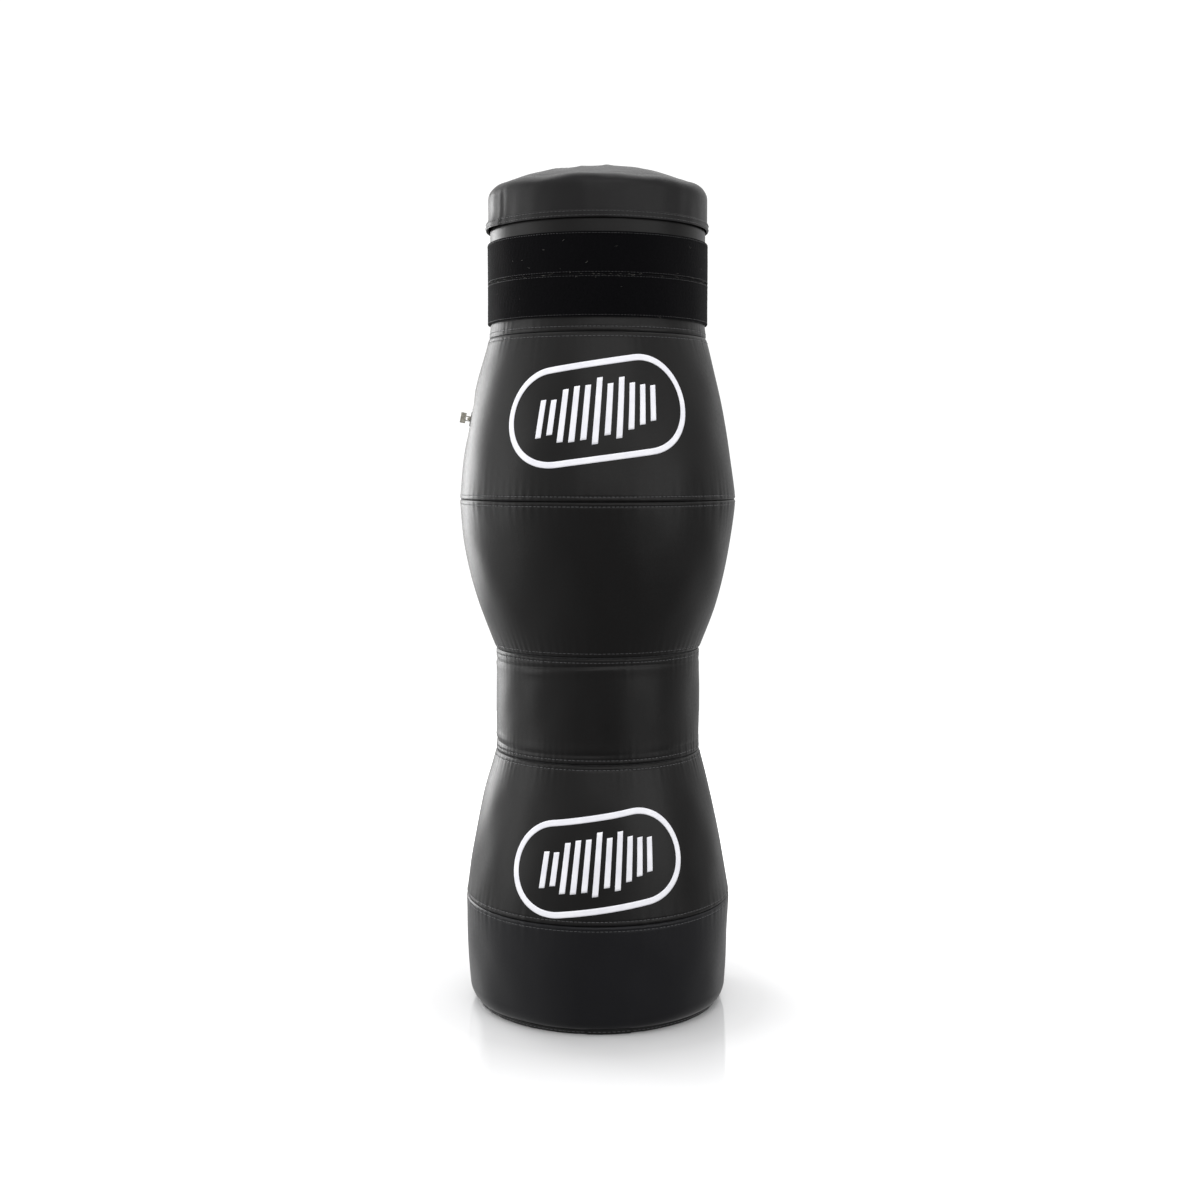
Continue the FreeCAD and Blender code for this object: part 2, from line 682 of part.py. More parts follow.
def make_pull():
    """A fork on a pin under the bail, and a slotted block that stands out from it."""
    body = doc.addObject("PartDesign::Body", "ZipPull")
    height = pull_axis_height()
    pin_half, arm_in = s.pull_pin / 2, s.bail_width / 2 + s.arm_play
    arm_out = arm_in + s.arm_wall
    root, tip = height + s.pull_reach, height + s.pull_reach + s.pull_length
    half_w = s.pull_width / 2
    pin_sketch = rectangle(-pin_half, height - pin_half, pin_half, height + pin_half)
    padded_on(body, "Pin", pin_sketch, arm_out * 2, role="XZ_Plane", both=True)
    for side, name in ((1, "Left"), (-1, "Right")):
        near, far = (arm_in, arm_out) if side == 1 else (-arm_out, -arm_in)
        strip = rectangle(near, height - pin_half, far, root + s.arm_play)
        padded_on(body, f"Arm{name}", strip, s.pull_pin, role="YZ_Plane", both=True)
    padded_on(body, "Block", rectangle(-half_w, root, half_w, tip), s.pull_thick, role="YZ_Plane", both=True)
    rib = (s.pull_width - s.pull_slot * 2) / 3
    doc.recompute()
    before = body.Shape.Volume
    for face, way in (("Front", 1), ("Rear", -1)):
        for row, name in ((-1, "Low"), (1, "High")):
            middle = (rib + s.pull_slot) / 2 * row
            sketch = sketch_on(body, "YZ_Plane", f"Slot{face}{name}Outline", rectangle(
                middle - s.pull_slot / 2, root + s.pull_collar, middle + s.pull_slot / 2, tip + 1))
            sketch.AttachmentOffset = FreeCAD.Placement(
                V(0, 0, way * (SIZES["pull_thick"] / 2 - SIZES["pull_slot_depth"])), FreeCAD.Rotation())
            pocket = body.newObject("PartDesign::Pocket", f"Slot{face}{name}")
            pocket.Profile = sketch
            pocket.Reversed = way == 1
            pocket.setExpression("Length", (s.pull_slot_depth + 1).text)
            doc.recompute()
    slot_area = SIZES["pull_slot"] * (SIZES["pull_length"] - SIZES["pull_collar"])
    if not body.Shape.Volume < before - 3.9 * slot_area * SIZES["pull_slot_depth"]:
        raise RuntimeError("the pull's slots cut too little")
    body.Placement = zip_place(CLOSED_ANGLE)
    keep(body, "zip_pull")


# ---------------------------------------------------------------- build, check and write
def check():
    doc.recompute()
    for thing in doc.Objects:
        if {"Invalid", "Error"} & set(thing.State):
            raise RuntimeError(f"{thing.Label} failed: {thing.State}")
    for thing in made:
        if thing.Shape.isNull() or not thing.Shape.isValid():
            raise RuntimeError(f"{thing.Label} has a bad shape")


def write():
    os.makedirs(PARTS_FOLDER, exist_ok=True)
    for thing in made:
        thing.Shape.exportStep(os.path.join(PARTS_FOLDER, f"{thing.Label}.step"))


make_shell()
make_seam_tapes()
make_foam()
make_inner_bag()
make_strap()
make_lid()
make_zip()
make_slider()
make_pull()
check()
write()
hinge_line = pull_axis_height().value
where = zip_place(CLOSED_ANGLE).multVec(V(0, 0, hinge_line))
across = zip_place(CLOSED_ANGLE).Rotation.multVec(V(0, 1, 0))
print("pull pin at", [round(x, 3) for x in where], "along", [round(x, 5) for x in across])
print("hem level", round(hem_level.value, 3), "flap inner radius", round(flap_in.value, 3))
print(len(made), "sub-parts")
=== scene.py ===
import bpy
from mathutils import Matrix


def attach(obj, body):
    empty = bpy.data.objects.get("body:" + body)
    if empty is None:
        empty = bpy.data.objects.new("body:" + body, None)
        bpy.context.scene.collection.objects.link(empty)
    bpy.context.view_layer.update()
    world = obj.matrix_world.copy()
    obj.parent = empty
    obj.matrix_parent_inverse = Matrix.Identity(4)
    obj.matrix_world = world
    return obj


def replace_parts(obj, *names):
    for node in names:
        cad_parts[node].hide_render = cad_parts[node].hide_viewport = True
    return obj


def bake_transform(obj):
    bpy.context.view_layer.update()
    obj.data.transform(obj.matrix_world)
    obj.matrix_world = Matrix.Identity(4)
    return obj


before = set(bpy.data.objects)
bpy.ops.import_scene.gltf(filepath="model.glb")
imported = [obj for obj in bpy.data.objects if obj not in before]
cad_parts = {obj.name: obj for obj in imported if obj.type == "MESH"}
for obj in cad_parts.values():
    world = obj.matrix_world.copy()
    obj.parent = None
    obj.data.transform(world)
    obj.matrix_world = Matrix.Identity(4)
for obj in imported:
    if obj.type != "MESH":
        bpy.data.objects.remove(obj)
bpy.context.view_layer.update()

import math

import bmesh
import bpy
import numpy as np
from mathutils import Vector

# Everything is in metres and radians.  The column stands on +Z, its front faces -Y and its back +Y.
MM = 0.001
TURN = 2 * math.pi
FRONT = -math.pi / 2
BACK = math.pi / 2

# ---- the shell's shape, as in the CAD model
FOOT_RADIUS, FOOT_LEVEL = 158.5 * MM, 6.2 * MM
CORNER_RADIUS, CORNER_LEVEL = 169.2 * MM, 26 * MM
HIP = (174.2 * MM, 141 * MM)
WAIST_LOW = (134.0 * MM, 334 * MM)
WAIST_HIGH = (133.2 * MM, 468 * MM)
CHEST = (179.4 * MM, 662 * MM)
NECK = (140.3 * MM, 867.5 * MM)
COLLAR = (138.3 * MM, 884 * MM)
TUCK = (138.3 * MM, 1001 * MM)
TUCK_END = (136.0 * MM, 1010 * MM)
RIM = (133.6 * MM, 1044 * MM)
SEAMS = [HIP, WAIST_LOW, WAIST_HIGH, CHEST, NECK]
TUBES = {
    "base": ((CORNER_RADIUS, CORNER_LEVEL), HIP, 0.8 * MM),
    "hip": (HIP, WAIST_LOW, 3.2 * MM),
    "waist": (WAIST_LOW, WAIST_HIGH, -1.0 * MM),
    "chest_lower": (WAIST_HIGH, CHEST, 8.4 * MM),
    "chest_upper": (CHEST, NECK, 4.6 * MM),
}
SKIN = 1.6 * MM
SEAM_GAP = 0.2 * MM
STITCH_OFFSET = 5.9 * MM
ROUND_STEPS = 432
ALL_ROUND = np.arange(ROUND_STEPS) * TURN / ROUND_STEPS

ZIP_LEVEL = 765 * MM
ZIP_LEAN = math.radians(11)
ZIP_START, ZIP_SWEEP = math.radians(4), math.radians(183)
ZIP_HALF_WINDOW = 8.5 * MM
ZIP_DEPTH = 2.3 * MM
ZIP_RADIUS = (CHEST[0] + NECK[0]) / 2 + 4.6 * MM

LID_OUT = 140.7 * MM
HEM_LEVEL = 1003.5 * MM
HEM_HEIGHT = 8.5 * MM
LID_EDGE = 1043.6 * MM
LID_SHOULDER = 14 * MM
LID_CROWN = 22 * MM
LID_FULLNESS = 3.2
LID_SETTLING = 0.65


def plain_radius(z):
    """The shell's radius at each height before any unevenness."""
    z = np.asarray(z, float)
    points = [(CORNER_RADIUS, CORNER_LEVEL), *SEAMS, COLLAR, TUCK, TUCK_END, RIM]
    radius = np.interp(z, [level for _, level in points], [r for r, _ in points])
    for low, high, swell in TUBES.values():
        part = np.clip((z - low[1]) / (high[1] - low[1]), 0, 1)
        radius = radius + swell * 4 * part * (1 - part)
    drop = np.clip((CORNER_LEVEL - z) / (CORNER_LEVEL - FOOT_LEVEL), 0, 1)
    return radius - (CORNER_RADIUS - FOOT_RADIUS) * (1 - np.sqrt(1 - drop ** 2))


def smooth(value, low, high):
    """0 below low, 1 above high and a smooth step between."""
    part = np.clip((value - low) / (high - low), 0, 1)
    return part * part * (3 - 2 * part)


def bump(distance, width):
    return np.exp(-(distance / width) ** 2)


def ripple(angle, z, seed, count, around, up=0.0):
    """Repeatable unevenness of about -1 to 1: whole waves round the column, tilted by up to `up`."""
    rng = np.random.default_rng(seed)
    total = 0
    for _ in range(count):
        waves = rng.integers(around[0], around[1] + 1)
        total = total + np.cos(waves * angle + rng.uniform(-up, up) * z + rng.uniform(0, TURN))
    return total / math.sqrt(count)


def unevenness(height, *waves):
    """A function of (angle, level) that gives a ripple of this height."""
    return lambda angle, level: height * ripple(angle, level, *waves)


def near_zip(angle, z):
    """1 on the zip and its margins, fading to 0 away from it."""
    middle = ZIP_START + ZIP_SWEEP / 2
    off = np.abs(wrapped(angle - middle))
    along = 1 - smooth(off, ZIP_SWEEP / 2, ZIP_SWEEP / 2 + 0.12)
    return along * (1 - smooth(np.abs(z - ZIP_LEVEL), 14 * MM, 40 * MM))


def shell_radius(angle, z):
    """The sewn, stuffed shell: lumps of the fill, ditches and puckers at the seams, creases at the waist."""
    angle, z = np.broadcast_arrays(np.asarray(angle, float), np.asarray(z, float))
    radius = plain_radius(z)
    seam_distance = np.min([np.abs(z - level) for _, level in SEAMS], axis=0)
    free = smooth(seam_distance, 6 * MM, 60 * MM) * (1 - near_zip(angle, z)) * (1 - smooth(z, 0.84, 0.87))
    radius = radius + free * 1.1 * MM * ripple(angle, z, 3, 9, (1, 5), 24)
    radius = radius + free * 0.35 * MM * ripple(angle, z, 4, 12, (6, 15), 60)
    for number, (_, level) in enumerate(SEAMS):
        off = z - level
        strength = 1.0 if number < 4 else 0.6
        radius = radius - strength * 1.7 * MM * bump(off, 1.5 * MM)
        for side in (-1, 1):
            radius = radius - 0.4 * MM * strength * bump(off - side * STITCH_OFFSET, 1.2 * MM)
        pucker = np.exp(-np.abs(off) / (12 * MM)) * (1 - bump(off, 2.5 * MM))
        radius = radius + strength * 0.34 * MM * pucker * ripple(angle, z, 10 + number, 14, (34, 110), 30)
    for level, way, seed in ((WAIST_HIGH[1], -1, 31), (WAIST_LOW[1], 1, 32)):
        off = (z - level) * way
        depth = 0.55 + 0.45 * ripple(angle, 0, seed, 5, (1, 5))
        wander = 1.6 * MM * ripple(angle, 0, seed + 5, 4, (1, 4))
        radius = radius - 1.5 * MM * depth * bump(off - 13 * MM - wander, 2.4 * MM)
        radius = radius + 0.8 * MM * depth * bump(off - 19 * MM - wander, 4.5 * MM)
    return radius


def from_polar(radius, angle, z):
    radius, angle, z = np.broadcast_arrays(radius, angle, z)
    return np.stack([radius * np.cos(angle), radius * np.sin(angle), z], axis=-1)


def on_shell(angle, z, lift=0.0):
    """Points on the uneven shell, lifted off it, and the shell's outward direction there."""
    angle, z = np.broadcast_arrays(np.asarray(angle, float), np.asarray(z, float))
    step = 1 * MM
    slope = (plain_radius(z + step) - plain_radius(z - step)) / (2 * step)
    outward = np.stack([np.cos(angle), np.sin(angle), -slope], axis=-1)
    outward = outward / np.linalg.norm(outward, axis=-1, keepdims=True)
    return from_polar(shell_radius(angle, z), angle, z) + lift * outward, outward


def on_cone(angle, up, out):
    """Points on the zip's cone: up the slope from its line, and out of the shell."""
    radius = ZIP_RADIUS - up * math.sin(ZIP_LEAN) + out * math.cos(ZIP_LEAN)
    return from_polar(radius, angle, ZIP_LEVEL + up * math.cos(ZIP_LEAN) + out * math.sin(ZIP_LEAN))


# ---- mesh helpers
def new_object(name, verts, faces, material, smooth_shade=True):
    mesh = bpy.data.meshes.new(name)
    mesh.from_pydata([tuple(v) for v in verts], [], faces)
    mesh.validate()
    mesh.update()
    obj = bpy.data.objects.new(name, mesh)
    bpy.context.scene.collection.objects.link(obj)
    mesh.materials.append(material)
    if smooth_shade:
        mesh.shade_smooth()
    return obj


def grid_faces(rows, cols, wrap_rows, wrap_cols, keep=None):
    """Quads of a grid of points, numbered row by row."""
    faces = []
    for row in range(rows if wrap_rows else rows - 1):
        below = (row + 1) % rows
        for col in range(cols if wrap_cols else cols - 1):
            if keep is not None and not keep[row, col]:
                continue
            right = (col + 1) % cols
            faces.append((row * cols + col, row * cols + right, below * cols + right, below * cols + col))
    return faces


def rod_faces(rows, sides, count=1):
    """Quads round a rod of closed loops, with a face at each end, for `count` such rods in a row."""
    last = (rows - 1) * sides
    ends = [tuple(range(sides - 1, -1, -1)), tuple(range(last, last + sides))]
    rod = grid_faces(rows, sides, False, True) + ends
    return [tuple(i + rows * sides * k for i in face) for k in range(count) for face in rod]


def loft(name, grid, material, wrap_rows=False, wrap_cols=True, caps=False, keep=None):
    """A mesh through a grid of points; `caps` closes the two ends of an open sweep of closed loops."""
    rows, cols = grid.shape[:2]
    faces = grid_faces(rows, cols, wrap_rows, wrap_cols, keep)
    if caps:
        first = [row * cols for row in range(rows)]
        faces += [first[::-1], [index + cols - 1 for index in first]]
    return new_object(name, grid.reshape(-1, 3), faces, material)


def band_loop(low, high, inner, outer, soft=0.5 * MM, steps=6):
    """The (radius, height) section of a flat band with round edges; `steps` divide its outer face."""
    soft = min(soft, (outer - inner) / 2.01, (high - low) / 2.01)
    quarter = np.linspace(0, math.pi / 2, 4)
    out, back, bottom, top = outer - soft, inner + soft, low + soft, high - soft
    loop = []
    for corner, (radius, level) in enumerate(((out, bottom), (out, top), (back, top), (back, bottom))):
        turn = (corner - 1) * math.pi / 2 + quarter
        loop.append(np.stack([radius + soft * np.cos(turn), level + soft * np.sin(turn)], axis=-1))
    face = np.linspace(bottom, top, steps + 2)[1:-1]
    loop.insert(1, np.stack([np.full(steps, outer), face], axis=-1))
    return np.concatenate(loop)


def ring(name, loop, material, body="bag", start=0.0, sweep=TURN, uneven=None, steps=ROUND_STEPS):
    """Sweeps a closed section round the column.  `uneven` adds to the radius at each (angle, height)."""
    full = sweep >= TURN - 1e-6
    count = max(8, int(steps * sweep / TURN))
    angles = start + np.linspace(0, sweep, count, endpoint=not full)
    radius, level = loop[:, 0][:, None], loop[:, 1][:, None]
    if uneven is not None:
        radius = radius + uneven(angles, level)
    obj = loft(name, from_polar(radius, angles, level), material, True, full, not full)
    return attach(obj, body)


def stitches(name, centres, along, outward, material, body,
             length=4.5 * MM, width=0.75 * MM, height=0.45 * MM):
    """A row of separate stitches: each is a thin bowed bead that dips into the cloth at both ends."""
    reach = np.array([-1.0, -0.72, 0.0, 0.72, 1.0])
    thickness = np.array([0.25, 0.85, 1.0, 0.85, 0.25])
    rise = height * (0.55 - 0.95 * reach ** 2)
    sides = np.arange(6) * TURN / 6
    across = np.cross(outward, along)
    body_line = centres[:, None, :] + along[:, None, :] * (reach * length / 2)[:, None]
    body_line = body_line + outward[:, None, :] * rise[:, None]
    half = width / 2 * thickness
    section = (across[:, None, None, :] * np.cos(sides)[:, None]
               + outward[:, None, None, :] * np.sin(sides)[:, None]) * half[:, None, None]
    points = (body_line[:, :, None, :] + section).reshape(-1, 3)
    obj = new_object(name, points, rod_faces(5, 6, len(centres)), material)
    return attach(obj, body)


def stitch_ring(name, place, material, body="bag", start=0.0, sweep=TURN,
                pitch=5.4 * MM, radius=0.15, **shape):
    """Stitches along a level line; `place` gives points and outward directions for an array of angles."""
    count = max(2, int(sweep * radius / pitch))
    angles = start + (np.arange(count) + 0.5) * sweep / count
    centres, outward = place(angles)
    along = np.stack([-np.sin(angles), np.cos(angles), np.zeros(count)], axis=-1)
    return stitches(name, centres, along, outward, material, body, **shape)


def along_shell(level):
    """A place function for stitch_ring: a level line on the uneven shell."""
    return lambda angles: on_shell(angles, level, 0.1 * MM)


def around(radius, level, uneven=None):
    """A place function for stitch_ring: a level line on a plain cylinder."""
    def place(angles):
        extra = uneven(angles, level) if uneven is not None else 0
        return from_polar(radius + extra, angles, level), from_polar(1.0, angles, 0.0)
    return place


def wrapped(angle):
    """The same direction as an angle from -pi to pi."""
    return (angle + math.pi) % TURN - math.pi


def solidify(obj, thickness):
    """Gives a surface its thickness, inward from its face."""
    cloth = obj.modifiers.new("wall", "SOLIDIFY")
    cloth.thickness = thickness
    cloth.offset = -1.0
    return cloth


def stands_for(obj, slot, *nodes):
    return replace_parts(obj, *nodes)


# ---- materials
class Tree:
    """Short calls for building a node tree."""

    def __init__(self, owner):
        owner.use_nodes = True
        self.tree = owner.node_tree

    def add(self, kind, **inputs):
        node = self.tree.nodes.new(kind)
        for socket, value in inputs.items():
            self.set(node.inputs[socket], value)
        return node

    def set(self, socket, value):
        if isinstance(value, bpy.types.NodeSocket):
            self.tree.links.new(value, socket)
        else:
            socket.default_value = value

    def math(self, operation, first, second=0.0):
        node = self.add("ShaderNodeMath")
        node.operation = operation
        self.set(node.inputs[0], first)
        self.set(node.inputs[1], second)
        return node.outputs[0]

    def spread(self, value, *limits, step="LINEAR"):
        """Maps limits 1 to 2 onto limits 3 to 4."""
        node = self.add("ShaderNodeMapRange", Value=value)
        node.interpolation_type = step
        for socket, limit in zip(("From Min", "From Max", "To Min", "To Max"), limits):
            node.inputs[socket].default_value = limit
        return node.outputs["Result"]


class Nodes(Tree):
    """A material's node tree on its Principled shader."""

    def __init__(self, name, roughness, **sockets):
        self.material = bpy.data.materials.new(name)
        super().__init__(self.material)
        self.shader = self.tree.nodes["Principled BSDF"]
        self.place = self.add("ShaderNodeTexCoord").outputs["Object"]
        self.shader.inputs["Roughness"].default_value = roughness
        for socket, value in sockets.items():
            self.shader.inputs[socket.replace("_", " ")].default_value = value
        self.relief = None

    def noise(self, scale, detail=3.0, stretch=None):
        where = self.place
        if stretch is not None:
            where = self.add("ShaderNodeMapping", Vector=where, Scale=stretch).outputs["Vector"]
        return self.add("ShaderNodeTexNoise", Vector=where, Scale=scale, Detail=detail).outputs["Fac"]

    def cells(self, scale):
        return self.add("ShaderNodeTexVoronoi", Vector=self.place, Scale=scale).outputs["Distance"]

    def colour(self, dark, light, by):
        ramp = self.add("ShaderNodeValToRGB", Fac=by)
        ramp.color_ramp.elements[0].color = (*dark, 1)
        ramp.color_ramp.elements[1].color = (*light, 1)
        ramp.color_ramp.elements[0].position = 0.3
        ramp.color_ramp.elements[1].position = 0.7
        self.set(self.shader.inputs["Base Color"], ramp.outputs["Color"])

    def rough(self, value):
        self.set(self.shader.inputs["Roughness"], value)

    def bump(self, height, distance, strength=1.0):
        node = self.add("ShaderNodeBump", Height=height, Distance=distance, Strength=strength)
        if self.relief is not None:
            self.set(node.inputs["Normal"], self.relief)
        self.relief = node.outputs["Normal"]
        self.set(self.shader.inputs["Normal"], self.relief)


def leather(name, dark, light, roughness=0.36):
    """Coated cloth: fine pebbled grain, slow gloss changes, faint scuffs."""
    n = Nodes(name, roughness, Specular_IOR_Level=0.2)
    slow, fine = n.noise(7), n.noise(320, 4)
    scuff = n.noise(30, 6, (1, 1, 0.25))
    n.colour(dark, light, n.math("ADD", n.math("MULTIPLY", slow, 0.6), n.math("MULTIPLY", scuff, 0.4)))
    n.rough(n.math("ADD", n.spread(slow, 0.3, 0.7, roughness - 0.04, roughness + 0.05),
                   n.spread(fine, 0.3, 0.7, -0.03, 0.04)))
    n.bump(n.noise(24, 3), 0.9 * MM, 0.28)
    n.bump(n.cells(850), 0.12 * MM, 0.5)
    n.bump(fine, 0.1 * MM, 0.35)
    return n.material


def weave(name, dark, light, pitch, roughness=0.85, sheen=0.0):
    """Woven tape: ribs round the column crossed by yarns up it."""
    n = Nodes(name, roughness, Sheen_Weight=sheen, Sheen_Roughness=0.5)
    spot = n.add("ShaderNodeSeparateXYZ", Vector=n.place)
    turn = n.math("ARCTAN2", spot.outputs["Y"], spot.outputs["X"])
    rib = n.math("SINE", n.math("MULTIPLY", spot.outputs["Z"], TURN / pitch))
    yarn = n.math("SINE", n.math("MULTIPLY", turn, 0.15 * TURN / pitch))
    cloth = n.math("MULTIPLY", rib, yarn)
    n.colour(dark, light, n.math("ADD", n.math("MULTIPLY", cloth, 0.25), n.noise(120, 3)))
    n.bump(cloth, 0.18 * MM, 0.7)
    n.bump(n.noise(2200, 2), 0.06 * MM, 0.5)
    return n.material


def pile(name, dark, light):
    """Hook-and-loop pile: matted fine loops that swallow light."""
    n = Nodes(name, 0.95, Specular_IOR_Level=0.05, Sheen_Weight=0.035, Sheen_Roughness=0.5)
    n.colour(dark, light, n.noise(900, 5))
    n.bump(n.noise(260, 4), 0.5 * MM, 0.5)
    n.bump(n.noise(1500, 3), 0.35 * MM, 0.8)
    return n.material


def hooks(name):
    """Hook tape: rows of tiny moulded hooks on a woven ground."""
    n = Nodes(name, 0.5)
    dots = n.cells(620)
    n.colour((0.012, 0.012, 0.013), (0.03, 0.03, 0.032), n.math("SUBTRACT", 1.0, dots))
    n.bump(n.math("SUBTRACT", 1.0, dots), 0.9 * MM, 0.9)
    return n.material


def foam(name):
    n = Nodes(name, 0.9)
    n.colour((0.42, 0.4, 0.34), (0.6, 0.57, 0.5), n.noise(60, 5))
    n.bump(n.cells(700), 0.5 * MM, 0.8)
    return n.material


def metal(name, dark, light, roughness=0.38):
    """Antiqued nickel: patchy dark and light tones, lightly scratched."""
    n = Nodes(name, roughness, Metallic=1.0)
    n.colour(dark, light, n.noise(260, 5))
    n.rough(n.spread(n.noise(900, 4), 0.3, 0.7, roughness - 0.12, roughness + 0.14))
    n.bump(n.noise(1300, 4, (1, 1, 6)), 0.05 * MM, 0.5)
    return n.material


def moulded(name, tone, roughness=0.42):
    n = Nodes(name, roughness)
    n.colour(tuple(c * 0.7 for c in tone), tuple(c * 1.3 for c in tone), n.noise(400, 3))
    n.bump(n.noise(1200, 3), 0.04 * MM, 0.6)
    return n.material


def thread(name, tone):
    """Twisted bonded thread."""
    n = Nodes(name, 0.45, Sheen_Weight=0.2)
    n.colour(tuple(c * 0.75 for c in tone), tuple(c * 1.25 for c in tone), n.noise(900, 2))
    n.bump(n.noise(1600, 2, (1, 1, 3)), 0.12 * MM, 0.8)
    return n.material


def print_ink(name):
    """White screen print: slightly worn, with the cloth's grain showing through."""
    n = Nodes(name, 0.45)
    n.colour((0.8, 0.8, 0.86), (0.9, 0.9, 0.94), n.noise(60, 6))
    n.bump(n.cells(850), 0.1 * MM, 0.5)
    n.bump(n.noise(320, 4), 0.08 * MM, 0.3)
    return n.material


SHELL = leather("shell_cloth", (0.0036, 0.0034, 0.0034), (0.0062, 0.0058, 0.0058))
FOOT = leather("foot_cloth", (0.0052, 0.0052, 0.0064), (0.0082, 0.0082, 0.0098), 0.35)
LID = leather("lid_cloth", (0.0064, 0.006, 0.0064), (0.010, 0.0096, 0.010), 0.4)
BINDING = leather("binding_cloth", (0.005, 0.005, 0.005), (0.009, 0.009, 0.009), 0.42)
BACKING = weave("cloth_backing", (0.05, 0.05, 0.052), (0.09, 0.09, 0.094), 0.9 * MM)
WEBBING = weave("webbing", (0.005, 0.005, 0.0056), (0.011, 0.011, 0.012), 1.5 * MM)
PILE = pile("loop_pile", (0.001, 0.001, 0.0013), (0.003, 0.0028, 0.0036))
HOOKS = hooks("hook_tape")
FOAM = foam("foam")
LINER = weave("liner_cloth", (0.1, 0.1, 0.108), (0.16, 0.16, 0.17), 0.7 * MM, 0.7, 0.2)
FILL = weave("textile_cuttings", (0.2, 0.19, 0.18), (0.45, 0.43, 0.4), 3 * MM, 0.95)
ZIP_CLOTH = weave("zip_tape", (0.008, 0.008, 0.009), (0.018, 0.018, 0.02), 0.8 * MM, 0.8)
TEETH = moulded("zip_teeth", (0.03, 0.03, 0.032))
NICKEL = metal("zip_metal", (0.2, 0.19, 0.165), (0.56, 0.54, 0.47))
THREAD = thread("top_thread", (0.05, 0.05, 0.054))
DARK_THREAD = thread("strap_thread", (0.012, 0.012, 0.014))
TIE = thread("tie_cord", (0.3, 0.29, 0.26))
INK = print_ink("print_white")


# ---- the shell's tubes
def levels_between(low, high):
    """Heights for a tube's rows, close together near its seams."""
    reach, fine, coarse = 16 * MM, 0.8 * MM, 4 * MM
    near = np.arange(0, reach, fine)
    middle = np.linspace(low + reach, high - reach, max(2, int((high - low - 2 * reach) / coarse)))
    return np.concatenate([low + near, middle, high - near[::-1]])


def make_tube(name, levels, material=SHELL, slot="shell", angles=ALL_ROUND, keep=None):
    grid = from_polar(shell_radius(angles, levels[:, None]), angles, levels[:, None])
    obj = loft(f"{name}_cloth", grid, material, keep=keep)
    solidify(obj, SKIN)
    stands_for(obj, slot, f"{name}_panel")
    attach(obj, "bag")


def make_base():
    round_part = FOOT_LEVEL + (CORNER_LEVEL - FOOT_LEVEL) * (1 - np.cos(np.linspace(0, math.pi / 2, 16)))
    upper = levels_between(CORNER_LEVEL, HIP[1] - SEAM_GAP / 2)
    make_tube("base", np.concatenate([round_part, upper[1:]]), FOOT, "foot")


def make_chest_upper():
    """The upper chest has the zip's window: its rows and columns follow the window's edges."""
    low, high = CHEST[1] + SEAM_GAP / 2, NECK[1] - SEAM_GAP / 2
    half = ZIP_HALF_WINDOW * math.cos(ZIP_LEAN)
    gap_low, gap_high = ZIP_LEVEL - half, ZIP_LEVEL + half
    below = levels_between(low, gap_low)
    above = levels_between(gap_high, high)
    levels = np.concatenate([below[:-1], [gap_low, gap_high], above[1:]])
    count = int(ROUND_STEPS * ZIP_SWEEP / TURN)
    window = ZIP_START + np.linspace(0, ZIP_SWEEP, count + 1)
    rest = ZIP_START + ZIP_SWEEP + np.linspace(0, TURN - ZIP_SWEEP, ROUND_STEPS - count + 1)[1:-1]
    angles = np.concatenate([window, rest])
    keep = np.ones((len(levels), len(angles)), bool)
    keep[len(below) - 1, :count] = False
    make_tube("chest_upper", levels, angles=angles, keep=keep)


def make_neck():
    """The neck tube is open at its rim, under the lid, so its inside shows when the lid is open."""
    levels = np.concatenate([levels_between(NECK[1] + SEAM_GAP / 2, TUCK[1]),
                             np.linspace(TUCK[1] + 2 * MM, RIM[1], 18)])
    make_tube("neck", levels)


def make_shell():
    make_base()
    for name in ("hip", "waist", "chest_lower"):
        low, high, _ = TUBES[name]
        make_tube(name, levels_between(low[1] + SEAM_GAP / 2, high[1] - SEAM_GAP / 2))
    make_chest_upper()
    make_neck()


def make_seam_stitches():
    for number, (radius, level) in enumerate(SEAMS):
        for side, row in ((-1, "below"), (1, "above")):
            place = along_shell(level + side * STITCH_OFFSET)
            name = f"seam_{number}_stitches_{row}"
            stitch_ring(name, place, THREAD, "bag", 0.01 * number, radius=radius)


def make_closing_seams():
    """Each tube's own closing seam runs up the back, as a lapped edge with one row of stitches."""
    for number, (name, (low, high, _)) in enumerate(TUBES.items()):
        start, end = low[1] + 4 * MM, high[1] - 4 * MM
        angle = BACK + 0.16 + 0.11 * math.sin(2.1 * number)
        spans = [(start, end)]
        if name == "chest_upper":
            spans = [(start, ZIP_LEVEL - 16 * MM), (ZIP_LEVEL + 16 * MM, end)]
        for part, (first, last) in enumerate(spans):
            levels = np.linspace(first, last, max(12, int((last - first) / (2.5 * MM))))
            side = np.linspace(0, 1, 7)
            lift = np.array([-0.6, 0.5, 0.75, 0.8, 0.8, 0.55, -0.6]) * MM
            turn = angle + (side - 0.5) * 9 * MM / plain_radius(levels)[:, None]
            grid, outward = on_shell(turn, levels[:, None])
            strap = loft(f"{name}_lap_{part}", grid + outward * lift[:, None], SHELL, wrap_cols=False)
            solidify(strap, 0.8 * MM)
            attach(strap, "bag")
            heights = np.arange(first + 3 * MM, last - 3 * MM, 5.4 * MM)
            centres, out = on_shell(angle, heights, 0.9 * MM)
            ahead, _ = on_shell(angle, heights + 1 * MM, 0.9 * MM)
            along = (ahead - centres) / np.linalg.norm(ahead - centres, axis=1, keepdims=True)
            stitches(f"{name}_lap_stitches_{part}", centres, along, out, THREAD, "bag")


